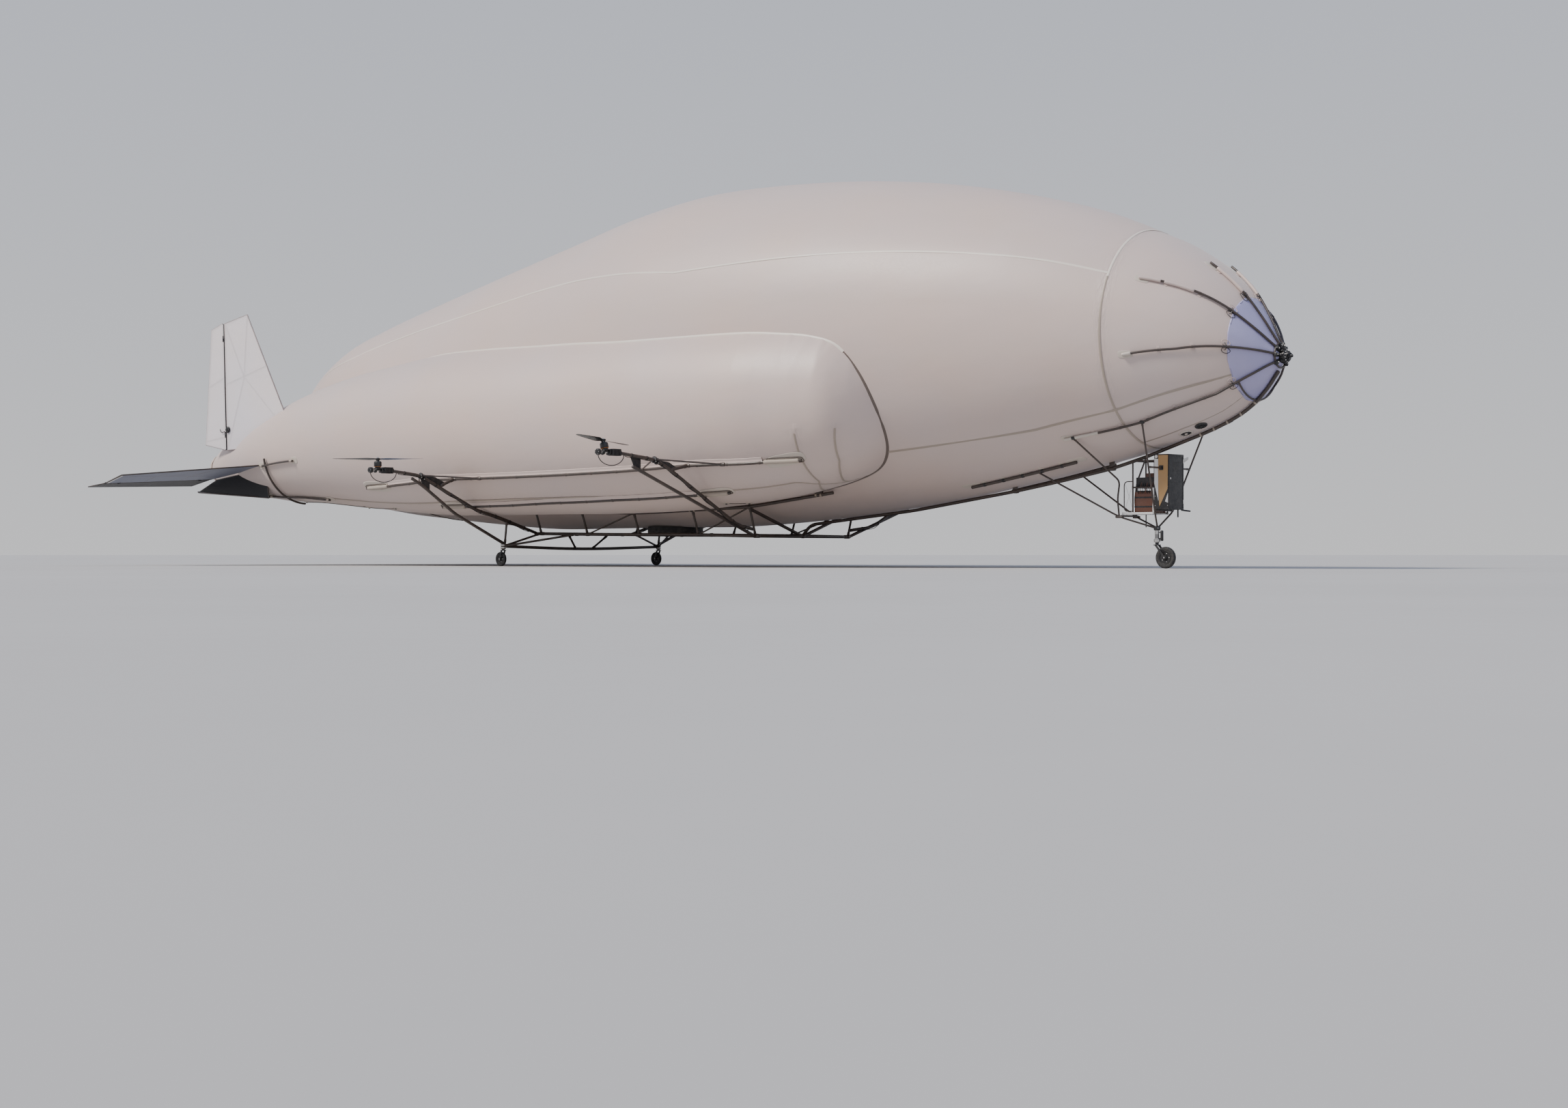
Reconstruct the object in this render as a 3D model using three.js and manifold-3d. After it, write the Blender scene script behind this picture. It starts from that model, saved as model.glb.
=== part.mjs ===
// A three-lobed electric airship, parked on its castors: envelope, nose cap, keel trusses,
// four outriggers with tilting motors, and a tail with elevators and rudders.
// Millimetres, +X to the nose, +Y to port, +Z up, origin on the floor under the middle of the box.
import * as THREE from 'three';
import { mergeVertices } from 'three/addons/utils/BufferGeometryUtils.js';
import Module from 'manifold-3d';

const wasm = await Module();
wasm.setup();

// Driving dimensions, in metres. "aft" is measured back from the nose tip, "port" from the centre
// plane and "up" from the datum of the ship's own drawing, which is level with the hull.
const M = 1000;
const NOSE_X = 11.235;
const PARKED_SLOPE = 0.0244;
const MAIN_AXLE_AFT = 14.46;
const FLOOR_UP = 0.155;
const FABRIC = 0.010;
const GAP = 0.0004;
const PATCH = 0.032;
const TUBE = 0.056;
const STRUT = 0.040;
const STAY = 0.028;
const RAIL = 0.050;
const SIDES = [['right', -1], ['left', 1]];

// A point of the ship's drawing, set in the parked attitude: the nose stands a little high.
function ship(aft, port, up) {
  const lift = PARKED_SLOPE * (MAIN_AXLE_AFT - aft) - FLOOR_UP;
  return new THREE.Vector3((NOSE_X - aft) * M, port * M, (up + lift) * M);
}

// Hull lobes, one row a station: aft, port, up, radius.
const CENTRE_LOBE = [
  [0.00, 0, 2.88, 0.03], [0.15, 0, 2.92, 0.25], [0.30, 0, 2.96, 0.49], [0.60, 0, 3.05, 0.85],
  [1.00, 0, 3.15, 1.15], [1.50, 0, 3.24, 1.41], [2.10, 0, 3.31, 1.65], [3.00, 0, 3.42, 1.94],
  [4.20, 0, 3.51, 2.24], [5.60, 0, 3.58, 2.51], [7.00, 0, 3.63, 2.71], [8.70, 0, 3.66, 2.86],
  [10.50, 0, 3.67, 2.92], [12.00, 0, 3.62, 2.83], [13.50, 0, 3.50, 2.68], [15.00, 0, 3.38, 2.53],
  [16.50, 0, 3.31, 2.33], [18.00, 0, 3.25, 2.11], [19.20, 0, 3.20, 1.92], [20.40, 0, 3.16, 1.65],
  [21.40, 0, 3.13, 1.20], [22.10, 0, 3.11, 0.62], [22.40, 0, 3.10, 0.15],
];
const SIDE_LOBE = [
  [5.20, 1.15, 2.64, 0.03], [5.40, 1.28, 2.64, 0.32], [5.60, 1.41, 2.64, 0.58], [5.90, 1.63, 2.63, 0.90],
  [6.25, 1.79, 2.61, 1.13], [6.70, 1.79, 2.62, 1.29], [7.30, 1.78, 2.62, 1.41], [8.00, 1.85, 2.59, 1.48],
  [9.70, 1.87, 2.58, 1.58], [11.30, 1.91, 2.58, 1.59], [12.90, 2.04, 2.56, 1.53], [14.40, 2.06, 2.58, 1.51],
  [15.80, 2.07, 2.60, 1.48], [17.00, 2.17, 2.60, 1.37], [18.10, 2.26, 2.60, 1.24], [19.20, 2.30, 2.56, 1.08],
  [20.20, 2.32, 2.47, 0.92], [21.20, 2.33, 2.40, 0.70], [22.10, 2.33, 2.33, 0.46], [22.60, 2.33, 2.29, 0.20],
];
const CENTRE_FACETS = 28;
const SIDE_FACETS = 18;

// Solids

function solidOf(geometry) {
  geometry.deleteAttribute('normal');
  geometry.deleteAttribute('uv');
  const welded = mergeVertices(geometry, 1e-4);
  return new wasm.Manifold(new wasm.Mesh({
    numProp: 3,
    vertProperties: new Float32Array(welded.attributes.position.array),
    triVerts: new Uint32Array(welded.index.array),
  }));
}

function geometryOf(solid) {
  const mesh = solid.getMesh();
  const geometry = new THREE.BufferGeometry();
  geometry.setAttribute('position', new THREE.BufferAttribute(new Float32Array(mesh.vertProperties), 3));
  geometry.setIndex(new THREE.BufferAttribute(new Uint32Array(mesh.triVerts), 1));
  geometry.computeVertexNormals();
  return geometry;
}

function join(solids) {
  return solids.reduce((sum, next) => sum.add(next));
}

function cut(solid, ...cutters) {
  return cutters.reduce((left, cutter) => left.subtract(cutter), solid);
}

function signedVolume(points, faces) {
  let volume = 0;
  for (let i = 0; i < faces.length; i += 3) {
    const [a, b, c] = [points[faces[i]], points[faces[i + 1]], points[faces[i + 2]]];
    volume += a.dot(new THREE.Vector3().crossVectors(b, c)) / 6;
  }
  return volume;
}

// A closed loft through rings of points that all run the same way round.
function loft(rings) {
  const sides = rings[0].length;
  const points = rings.flat();
  const faces = [];
  for (let i = 0; i + 1 < rings.length; i += 1) {
    for (let j = 0; j < sides; j += 1) {
      const here = i * sides + j;
      const next = i * sides + (j + 1) % sides;
      faces.push(here, here + sides, next, next, here + sides, next + sides);
    }
  }
  const last = (rings.length - 1) * sides;
  for (let j = 1; j + 1 < sides; j += 1) {
    faces.push(0, j, j + 1, last, last + j + 1, last + j);
  }
  if (signedVolume(points, faces) < 0) {
    faces.reverse();
  }
  const geometry = new THREE.BufferGeometry().setFromPoints(points);
  geometry.setIndex(faces);
  return solidOf(geometry);
}

function rod(from, to, diameter, sides = 6) {
  const along = new THREE.Vector3().subVectors(to, from);
  const radius = diameter * M / 2;
  const geometry = new THREE.CylinderGeometry(radius, radius, along.length(), sides);
  const turn = new THREE.Quaternion().setFromUnitVectors(new THREE.Vector3(0, 1, 0), along.clone().normalize());
  geometry.applyQuaternion(turn);
  geometry.translate(...new THREE.Vector3().addVectors(from, to).multiplyScalar(0.5).toArray());
  return solidOf(geometry);
}

// A tube swept through points, with one ring of corners across each bend.
function pipe(points, diameter, sides = 6) {
  const last = points.length - 1;
  let across = null;
  const rings = points.map((point, i) => {
    const into = new THREE.Vector3().subVectors(point, points[Math.max(i - 1, 0)]).normalize();
    const out = new THREE.Vector3().subVectors(points[Math.min(i + 1, last)], point).normalize();
    const along = into.add(out).normalize();
    if (across === null) {
      const steep = Math.abs(along.z) > 0.9;
      across = new THREE.Vector3().crossVectors(along, new THREE.Vector3(steep ? 1 : 0, 0, steep ? 0 : 1));
    }
    across.addScaledVector(along, -across.dot(along)).normalize();
    const other = new THREE.Vector3().crossVectors(along, across);
    const ring = [];
    for (let k = 0; k < sides; k += 1) {
      const angle = (k + 0.5) * 2 * Math.PI / sides;
      const corner = point.clone().addScaledVector(across, Math.cos(angle) * diameter * M / 2);
      ring.push(corner.addScaledVector(other, Math.sin(angle) * diameter * M / 2));
    }
    return ring;
  });
  return loft(rings);
}

// A box about its centre, with its size in metres.
function block(centre, size) {
  const geometry = new THREE.BoxGeometry(size[0] * M, size[1] * M, size[2] * M);
  geometry.translate(centre.x, centre.y, centre.z);
  return solidOf(geometry);
}

// A flat plate between outline points, of one thickness.
function plate(points, thickness) {
  const normal = new THREE.Vector3().crossVectors(
    new THREE.Vector3().subVectors(points[1], points[0]),
    new THREE.Vector3().subVectors(points[2], points[0]),
  ).setLength(thickness * M / 2);
  const front = points.map((p) => p.clone().add(normal));
  const back = points.map((p) => p.clone().sub(normal));
  return loft([back, front]);
}

// Hull

// The stations moved out along the profile's own normal, so that a skin keeps its thickness.
function grown(stations, offset) {
  return stations.map(([aft, port, up, radius], i) => {
    const before = stations[Math.max(i - 1, 0)];
    const after = stations[Math.min(i + 1, stations.length - 1)];
    const run = after[0] - before[0];
    const rise = after[3] - before[3];
    const length = Math.hypot(run, rise);
    return [aft - offset * rise / length, port, up, radius + offset * run / length];
  });
}

function lobe(stations, facets, side, offset) {
  const rings = grown(stations, offset).map(([aft, port, up, radius]) => {
    const ring = [];
    for (let j = 0; j < facets; j += 1) {
      const angle = (j + 0.5) * 2 * Math.PI / facets;
      ring.push(ship(aft, side * port + radius * Math.cos(angle), up + radius * Math.sin(angle)));
    }
    return ring;
  });
  return loft(rings);
}

function hull(offset) {
  return join([
    lobe(CENTRE_LOBE, CENTRE_FACETS, 1, offset),
    lobe(SIDE_LOBE, SIDE_FACETS, -1, offset),
    lobe(SIDE_LOBE, SIDE_FACETS, 1, offset),
  ]);
}

const hullSeat = hull(GAP);

// A point on a lobe: how far aft, how many degrees below its middle, and how far proud of the skin.
function onLobe(stations, side, aft, below, proud) {
  const next = Math.max(stations.findIndex((row) => row[0] >= aft), 1);
  const share = (aft - stations[next - 1][0]) / (stations[next][0] - stations[next - 1][0]);
  const [before, after] = grown(stations, proud).slice(next - 1, next + 1);
  const [along, port, up, radius] = before.map((value, k) => value + share * (after[k] - value));
  const angle = below * Math.PI / 180;
  return ship(along, side * (port + radius * Math.cos(angle)), up - radius * Math.sin(angle));
}

function onSide(side, aft, below, proud = 0) {
  return onLobe(SIDE_LOBE, side, aft, below, proud);
}

function onCentre(side, aft, below, proud = 0) {
  return onLobe(CENTRE_LOBE, side, aft, below, proud);
}

const centreSkin = lobe(CENTRE_LOBE, CENTRE_FACETS, 1, PATCH);
const sideSkins = new Map(SIDES.map(([, side]) => [side, lobe(SIDE_LOBE, SIDE_FACETS, side, PATCH)]));

// A round patch glued to the hull, where a tube is laced down: from inside to outside, trimmed.
function sidePatch(side, aft, below, diameter) {
  const drum = rod(onSide(side, aft, below, -0.1), onSide(side, aft, below, 0.1), diameter, 8);
  return cut(drum.intersect(sideSkins.get(side)), hullSeat);
}

function centrePatch(side, aft, below, diameter) {
  const drum = rod(onCentre(side, aft, below, -0.1), onCentre(side, aft, below, 0.1), diameter, 8);
  return cut(drum.intersect(centreSkin), hullSeat);
}

// The gas filler hole under the belly, inside the blower's collar.
const BLOWER_AFT = 12.1;
const BLOWER_UP = 0.79;
const BLOWER_HOLE = 0.36;
const BLOWER_RING = 0.50;
const BLOWER_DEPTH = 0.16;

function envelope() {
  const shell = cut(lobe(CENTRE_LOBE, CENTRE_FACETS, 1, 0), lobe(CENTRE_LOBE, CENTRE_FACETS, 1, -FABRIC));
  const hole = rod(ship(BLOWER_AFT, 0, BLOWER_UP - 0.3), ship(BLOWER_AFT, 0, BLOWER_UP + 0.3), BLOWER_HOLE * 2, 16);
  return cut(shell, hole);
}

// A side lobe stops at the centre lobe's skin, which goes on inside it as a curtain.
function sideLobe(side) {
  const shell = cut(lobe(SIDE_LOBE, SIDE_FACETS, side, 0), lobe(SIDE_LOBE, SIDE_FACETS, side, -FABRIC));
  return cut(shell, lobe(CENTRE_LOBE, CENTRE_FACETS, 1, GAP));
}

// Nose

const CAP_LENGTH = 0.52;
const CAP_SKIN = 0.008;
const HUB_RADIUS = 0.10;
const HUB_UP = 2.885;
const BATTEN = 0.036;
const COLLAR_AFT = 0.09;
const ARC_AFT = 0.47;
// Each batten from the collar back: aft, degrees below the horizontal.
const BATTENS = [
  [[0.09, -75], [1.05, -75]],
  [[0.09, -42], [0.74, -39], [1.67, -33]],
  [[0.09, -6], [0.53, 1], [1.11, 8], [1.80, 12]],
  [[0.09, 34], [0.29, 38], [0.74, 47], [1.25, 50], [1.82, 54], [3.03, 55]],
];

// Everything ahead of a station, used to trim the cap.
function ahead(aft) {
  return block(ship(aft - 1.5, 0, 3), [3, 4, 4]);
}

const noseCone = lobe(CENTRE_LOBE, CENTRE_FACETS, 1, GAP + CAP_SKIN);

// The hub and its spindle lie level, whatever the hull's attitude.
function onHubAxis(aft) {
  return ship(aft, 0, 0).setZ(ship(0, 0, HUB_UP).z);
}

function noseCap() {
  const hubHole = rod(onHubAxis(-0.2), onHubAxis(0.3), HUB_RADIUS * 2 + 0.01, 16);
  return cut(noseCone.intersect(ahead(CAP_LENGTH)), hullSeat, hubHole);
}

function noseHub() {
  const disc = rod(onHubAxis(-0.05), onHubAxis(0.10), HUB_RADIUS * 2, 16);
  const spindle = rod(onHubAxis(-0.13), onHubAxis(0), 0.05, 12);
  const flange = rod(onHubAxis(-0.07), onHubAxis(-0.05), 0.15, 16);
  return cut(join([disc, flange, spindle]), hullSeat);
}

// A value from a table of station and value, in between where needed.
function valueAt(table, aft) {
  const next = Math.min(Math.max(table.findIndex((row) => row[0] >= aft), 1), table.length - 1);
  const [a, b] = [table[next - 1], table[next]];
  return a[1] + (b[1] - a[1]) * (aft - a[0]) / (b[0] - a[0]);
}

// A route laid on a lobe through its stations, with a table of station and degrees below the horizontal.
function laidRoute(stations, side, table, proud, start = table[0][0], end = table[table.length - 1][0]) {
  const inside = stations.map((row) => row[0]).filter((aft) => aft > start + 0.05 && aft < end - 0.05);
  return [start, ...inside, end].map((aft) => onLobe(stations, side, aft, valueAt(table, aft), proud));
}

const BATTEN_PROUD = CAP_SKIN + BATTEN / 2 + 0.005;

function battenTubes(extra = 0) {
  const parts = [];
  for (const [, side] of SIDES) {
    for (const table of BATTENS) {
      parts.push(pipe(laidRoute(CENTRE_LOBE, side, table, BATTEN_PROUD), BATTEN + extra, 5));
    }
  }
  return join(parts);
}

function noseBattens() {
  const parts = [battenTubes()];
  for (const [, side] of SIDES) {
    for (const table of BATTENS.slice(1)) {
      const [end, below] = table[table.length - 1];
      parts.push(centrePatch(side, end - 0.03, below, 0.09));
    }
  }
  const collar = [];
  for (let below = 0; below <= 390; below += 30) {
    collar.push(onCentre(1, COLLAR_AFT, below, BATTEN_PROUD));
  }
  const arc = [];
  for (let below = 42; below <= 138; below += 12) {
    arc.push(onCentre(1, ARC_AFT, below, BATTEN_PROUD));
  }
  return cut(join([...parts, pipe(collar, BATTEN, 5), pipe(arc, BATTEN, 5)]), keelSeat);
}

// Keel and trusses, in the ship's drawing

const UPPER_CHORD = [
  [7.31, 1.38, 1.19], [9.10, 1.38, 1.03], [11.70, 1.38, 1.02], [14.30, 1.38, 1.17], [17.16, 1.38, 1.44],
];
const LOWER_CHORD = [[9.10, 1.23, 0.545], [10.48, 1.23, 0.61], [13.30, 1.23, 0.70], [14.46, 1.23, 0.75]];
const POSTS = [9.10, 10.40, 11.80, 13.10, 14.30];
const BRACES = [[10.40, 9.10], [13.10, 11.80]];
const SADDLES = [7.60, 10.40, 13.10, 16.80];
// The keel lies on the hull from the nose to its touch point, then hangs clear of it: aft, up.
const KEEL_START = 0.13;
const KEEL_TOUCH = 1.42;
const KEEL = [[2.29, 1.555], [2.91, 1.40], [3.92, 1.24], [4.70, 1.13], [6.70, 0.90], [8.92, 0.74]];
const KEEL_HANGERS = [2.91, 4.70];

function along(chord, aft) {
  const next = Math.max(chord.findIndex((row) => row[0] >= aft), 1);
  const [a, b] = [chord[next - 1], chord[next]];
  const share = (aft - a[0]) / (b[0] - a[0]);
  return [1, 2].map((k) => a[k] + share * (b[k] - a[k]));
}

function chordPoint(chord, side, aft) {
  const [port, up] = along(chord, aft);
  return ship(aft, side * port, up);
}

function girderTubes(side, extra = 0) {
  const parts = [
    pipe(UPPER_CHORD.map(([aft, port, up]) => ship(aft, side * port, up)), TUBE + extra),
    pipe(LOWER_CHORD.map(([aft, port, up]) => ship(aft, side * port, up)), TUBE + extra),
  ];
  for (const aft of POSTS) {
    parts.push(rod(chordPoint(UPPER_CHORD, side, aft), chordPoint(LOWER_CHORD, side, aft), STRUT + extra, 6));
  }
  for (const [low, high] of BRACES) {
    parts.push(rod(chordPoint(LOWER_CHORD, side, low), chordPoint(UPPER_CHORD, side, high), STAY + extra, 6));
  }
  return join(parts);
}

// Saddles between the upper chord and the hull, where the girder is laced to the fabric.
function girder(side) {
  const saddles = SADDLES.map((aft) => {
    const [port, up] = along(UPPER_CHORD, aft);
    return block(ship(aft, side * port, up + 0.06), [0.16, 0.05, 0.12]);
  });
  return cut(join([girderTubes(side), ...saddles]), hullSeat);
}

const girderSeats = SIDES.map(([, side]) => girderTubes(side, 2 * GAP));

// Four tubes join the two girders, with a middle tube between each pair and a shallow V at the front.
const CROSS_TUBES = [9.10, 10.15, 13.44, 14.33];
const V_END = [1.38, 1.00]; // port, up

function crossFrameTubes(extra = 0) {
  const parts = CROSS_TUBES.map((aft) => {
    return rod(chordPoint(LOWER_CHORD, -1, aft), chordPoint(LOWER_CHORD, 1, aft), TUBE + extra);
  });
  const middle = CROSS_TUBES.map((aft) => ship(aft, 0, along(LOWER_CHORD, aft)[1]));
  const front = CROSS_TUBES[0];
  parts.push(pipe([ship(front, -V_END[0], V_END[1]), middle[0], ship(front, V_END[0], V_END[1])], TUBE + extra));
  for (let i = 0; i + 1 < middle.length; i += 1) {
    parts.push(rod(middle[i], middle[i + 1], STRUT + extra, 6));
  }
  return join(parts);
}

const crossFrame = cut(crossFrameTubes(), hullSeat, ...girderSeats);
const crossFrameSeat = crossFrameTubes(2 * GAP);

function keelTubes(extra = 0) {
  const proud = CAP_SKIN + TUBE / 2 + 0.002;
  const laid = laidRoute(CENTRE_LOBE, 1, [[KEEL_START, 90], [KEEL_TOUCH, 90]], proud);
  const hung = KEEL.map(([aft, up]) => ship(aft, 0, up));
  return pipe([...laid, ...hung, ship(CROSS_TUBES[0], 0, 0.56)], TUBE + extra);
}

// Hangers hold the keel to the hull where it runs clear of it.
function keel() {
  const hangers = KEEL_HANGERS.map((aft) => block(ship(aft, 0, valueAt(KEEL, aft) + 0.09), [0.10, 0.03, 0.16]));
  return cut(join([keelTubes(), ...hangers]), crossFrameSeat, hullSeat);
}

const keelSeat = keelTubes(2 * GAP);

// Outriggers

const MOTOR_PORT = 5.04;
const OUTRIGGERS = [
  // name, motor aft, motor up, resting tilt in degrees forward of upright
  ['front', 8.82, 1.80, -15],
  ['rear', 14.27, 1.79, 0],
];
// Each arm is an upper tube from the girder to the motor and a lower one under it: aft, port, up.
const ARMS = [
  {
    upper: [[9.10, 1.30, 0.66], [9.00, 1.80, 0.72], [8.89, 3.59, 1.61], [8.87, 3.93, 1.73]],
    lower: [[9.10, 1.258, 0.545], [8.98, 2.82, 1.07], [8.87, 4.39, 1.60]],
    hub: [8.87, 3.93, 1.73], elbow: [8.89, 3.52, 1.575], webPort: 4.36, braceReach: [-0.67, 0.99],
  },
  {
    upper: [[14.42, 1.258, 0.76], [14.38, 2.20, 1.03], [14.36, 2.76, 1.155], [14.30, 4.10, 1.73]],
    lower: [[14.44, 2.02, 0.56], [14.36, 3.25, 1.08], [14.31, 4.02, 1.55], [14.29, 4.28, 1.67]],
    hub: [14.30, 4.10, 1.73], elbow: [14.32, 3.62, 1.56], webPort: 4.02, braceReach: [-0.65, 1.00],
  },
];
const AXLE = 0.036;
const AXLE_BORE = 0.0378;
const SERVO = [0.12, 0.20, 0.11];
const SERVO_PORT = MOTOR_PORT - 0.20;
const TIP_CAP_PORT = MOTOR_PORT + 0.13;
const CAP_WIDTH = 0.06;
const CLAMP = { diameter: 0.11, width: 0.035, spread: 0.07 };
const CONDUIT = { tube: 0.014, drop: 0.17, inner: 4.64 };

function shipRoute(rows, side) {
  return rows.map(([aft, port, up]) => ship(aft, side * port, up));
}

function armTubes(which, side, extra = 0) {
  const { upper, lower } = ARMS[which];
  const [, aft, up] = OUTRIGGERS[which];
  const tip = [aft, SERVO_PORT - 0.06, up];
  return join([pipe(shipRoute([...upper, tip], side), TUBE + extra), pipe(shipRoute(lower, side), TUBE + extra)]);
}

// Two rings clamp the braces to the upper tube, and a web joins the tubes near the tip.
function armFittings(which, side) {
  const { upper, lower, hub, webPort } = ARMS[which];
  const [hubPoint, inward] = shipRoute([hub, upper[upper.length - 2]], side);
  const inwards = new THREE.Vector3().subVectors(inward, hubPoint).normalize();
  const rings = [0, 1].map((place) => {
    const start = hubPoint.clone().addScaledVector(inwards, place * CLAMP.spread * M);
    return rod(start, start.clone().addScaledVector(inwards, CLAMP.width * M), CLAMP.diameter, 12);
  });
  const upAt = (rows, port) => {
    const next = Math.min(Math.max(rows.findIndex((row) => row[1] >= port), 1), rows.length - 1);
    const [a, b] = [rows[next - 1], rows[next]];
    return a[2] + (b[2] - a[2]) * (port - a[1]) / (b[1] - a[1]);
  };
  const [, motorAft, motorUp] = OUTRIGGERS[which];
  const outer = [...upper, [motorAft, SERVO_PORT - 0.06, motorUp]];
  const web = [[webPort - 0.14, lower], [webPort - 0.14, outer], [webPort + 0.10, outer], [webPort, lower]];
  const outline = web.map(([port, rows]) => ship(hub[0], side * port, upAt(rows, port)));
  return [...rings, plate(outline, 0.012)];
}

const MAIN_LEG_FOOT = 0.46;
// The landing tube runs between the two wheel nodes, a little lower in the middle: port, up.
const LANDING = { aft: 14.46, node: [2.02, 0.515], middle: 0.46 };

function landingTubes(extra = 0) {
  const { aft, node: [nodePort, nodeUp], middle } = LANDING;
  const across = [ship(aft, -nodePort, nodeUp), ship(aft, 0, middle), ship(aft, nodePort, nodeUp)];
  const parts = [pipe(across, TUBE + extra)];
  for (const [, side] of SIDES) {
    const node = ship(aft, side * nodePort, nodeUp);
    const girderBack = ship(14.33, side * 1.23, 0.745);
    const girderFront = ship(13.44, side * 1.23, 0.70);
    const webFoot = ship(aft, side * 0.20, 0.465);
    const webHead = ship(14.34, side * 0.50, 0.72);
    for (const [from, to] of [[node, girderBack], [node, girderFront], [webFoot, webHead]]) {
      parts.push(rod(from, to, STRUT + extra, 6));
    }
    parts.push(rod(ship(aft, side * nodePort, 0.56), ship(aft, side * nodePort, MAIN_LEG_FOOT), 0.09 + extra, 12));
  }
  return join(parts);
}

const landingFrame = cut(landingTubes(), hullSeat, crossFrameSeat, ...girderSeats);
const landingSeat = landingTubes(2 * GAP);

// Side rails, laid on each side lobe: aft, degrees below the lobe's middle.
const UPPER_RAIL = [
  [6.85, 46], [7.40, 42], [8.28, 38], [9.00, 36], [14.80, 35.5], [15.92, 39], [16.86, 43],
];
const LOWER_RAIL = [[8.48, 63], [9.44, 60], [10.90, 59], [12.37, 60], [13.50, 62], [15.26, 63]];
const RAIL_PROUD = RAIL / 2 + 0.002;
const SLEEVE = { diameter: 0.076, length: 0.62 };

function railTube(side, table, extra = 0) {
  return pipe(laidRoute(SIDE_LOBE, side, table, RAIL_PROUD), RAIL + extra, 6);
}

// A rail with a fabric sleeve and a glued patch at each end.
function rail(side, table) {
  const [start, end] = [table[0][0], table[table.length - 1][0]];
  const sleeves = [[start + 0.06, start + SLEEVE.length], [end - SLEEVE.length, end - 0.06]].map(([from, to]) => {
    return pipe(laidRoute(SIDE_LOBE, side, table, RAIL_PROUD, from, to), SLEEVE.diameter, 6);
  });
  const patches = [start + 0.10, end - 0.10].map((aft) => sidePatch(side, aft, valueAt(table, aft), 0.24));
  return cut(join([railTube(side, table), ...sleeves, ...patches]), hullSeat);
}

// Three braces run from each arm to the upper rail: ahead and behind from the hub, straight in from the elbow.
function braces(which, side) {
  const { hub, elbow, braceReach } = ARMS[which];
  const onRail = (aft) => onSide(side, aft, valueAt(UPPER_RAIL, aft), RAIL_PROUD);
  const [hubPoint, elbowPoint] = shipRoute([hub, elbow], side);
  const sides = braceReach.map((reach) => rod(hubPoint, onRail(hub[0] + reach), STAY, 6));
  return [...sides, rod(elbowPoint, onRail(elbow[0]), TUBE, 6)];
}

// A thin conduit hangs in an arc from the end cap to the arm.
function conduit(which, side) {
  const [, aft, up] = OUTRIGGERS[which];
  const outer = TIP_CAP_PORT + CAP_WIDTH / 2;
  const half = (outer - CONDUIT.inner) / 2;
  const route = [];
  for (let step = 0; step <= 6; step += 1) {
    const angle = Math.PI * step / 6;
    const port = CONDUIT.inner + half * (1 - Math.cos(angle));
    route.push(ship(aft, side * port, up - 0.03 - CONDUIT.drop * Math.sin(angle)));
  }
  return pipe(route, CONDUIT.tube, 4);
}

function outrigger(which, side) {
  const [, aft, up] = OUTRIGGERS[which];
  const servo = block(ship(aft, side * SERVO_PORT, up), SERVO);
  const axle = rod(ship(aft, side * SERVO_PORT, up), ship(aft, side * TIP_CAP_PORT, up), AXLE, 12);
  const cap = rod(ship(aft, side * TIP_CAP_PORT, up), ship(aft, side * (TIP_CAP_PORT + CAP_WIDTH), up), 0.10, 12);
  const tubes = [armTubes(which, side), ...armFittings(which, side)];
  if (which === 1) {
    tubes.push(rod(ship(14.44, side * 2.0, 0.56), ship(14.39, side * 2.0, 0.97), STRUT, 6));
  }
  const whole = join([...tubes, servo, axle, cap, conduit(which, side), ...braces(which, side)]);
  return cut(whole, crossFrameSeat, landingSeat, railTube(side, UPPER_RAIL, 2 * GAP), ...girderSeats);
}

// Nose gear

const LEG_AFT = 2.12;
const LEG_TOP = 0.47;
const LEG_COLLAR = 0.43;
const LEG_FOOT = 0.25;
const CABINET = { front: 1.79, back: 2.04, half: 0.22, floor: 0.74, top: 1.57, panel: 0.012 };
const RACK = { front: 2.0404, back: 2.44, tray: 2.61, half: 0.20, floor: 0.67, top: 1.49, sheet: 0.016, tube: 0.024 };
// One strut a side starts on the belly strip, and two on the lowest batten: aft, port, up.
const BELLY_STRUT = [[3.89, 0.603, 1.388], [2.63, 0.25, 0.65], [2.14, 0.03, 0.47]];
const BATTEN_STRUTS = [
  { aft: 2.90, stops: [[2.62, 0.25, 1.19], [2.66, 0.25, 0.92], [2.63, 0.25, 0.65]] },
  { aft: 1.83, stops: [[2.00, 0.27, 0.72], [2.10, 0.03, 0.49]] },
];
const STRIP = [[3.20, 74], [5.09, 75]];
const BEARERS = [[2.00, 0.27, 0.728], [2.60, 0.25, 0.662]]; // aft, half, up
const LINK = { aft: 1.915, port: 0.59, up: 1.36 };

function noseGearTubes() {
  const parts = [];
  for (const [, side] of SIDES) {
    parts.push(pipe(shipRoute(BELLY_STRUT, side), STAY, 6));
    const batten = BATTENS[BATTENS.length - 1];
    for (const { aft: start, stops } of BATTEN_STRUTS) {
      const head = onCentre(side, start, valueAt(batten, start), BATTEN_PROUD);
      parts.push(pipe([head, ...shipRoute(stops, side)], STAY, 6));
    }
    parts.push(pipe(laidRoute(CENTRE_LOBE, side, STRIP, RAIL_PROUD), RAIL, 6));
    for (const [aft, below] of STRIP) {
      parts.push(centrePatch(side, aft, below, 0.16));
    }
  }
  for (const [aft, half, up] of BEARERS) {
    parts.push(rod(ship(aft, -half, up), ship(aft, half, up), STAY, 6));
  }
  const { aft, port, up } = LINK;
  parts.push(rod(ship(aft, -port, up), ship(aft, port, up), STAY, 6));
  parts.push(rod(ship(LEG_AFT, 0, LEG_TOP + 0.03), ship(LEG_AFT, 0, LEG_COLLAR), 0.10, 12));
  return join(parts);
}

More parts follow.
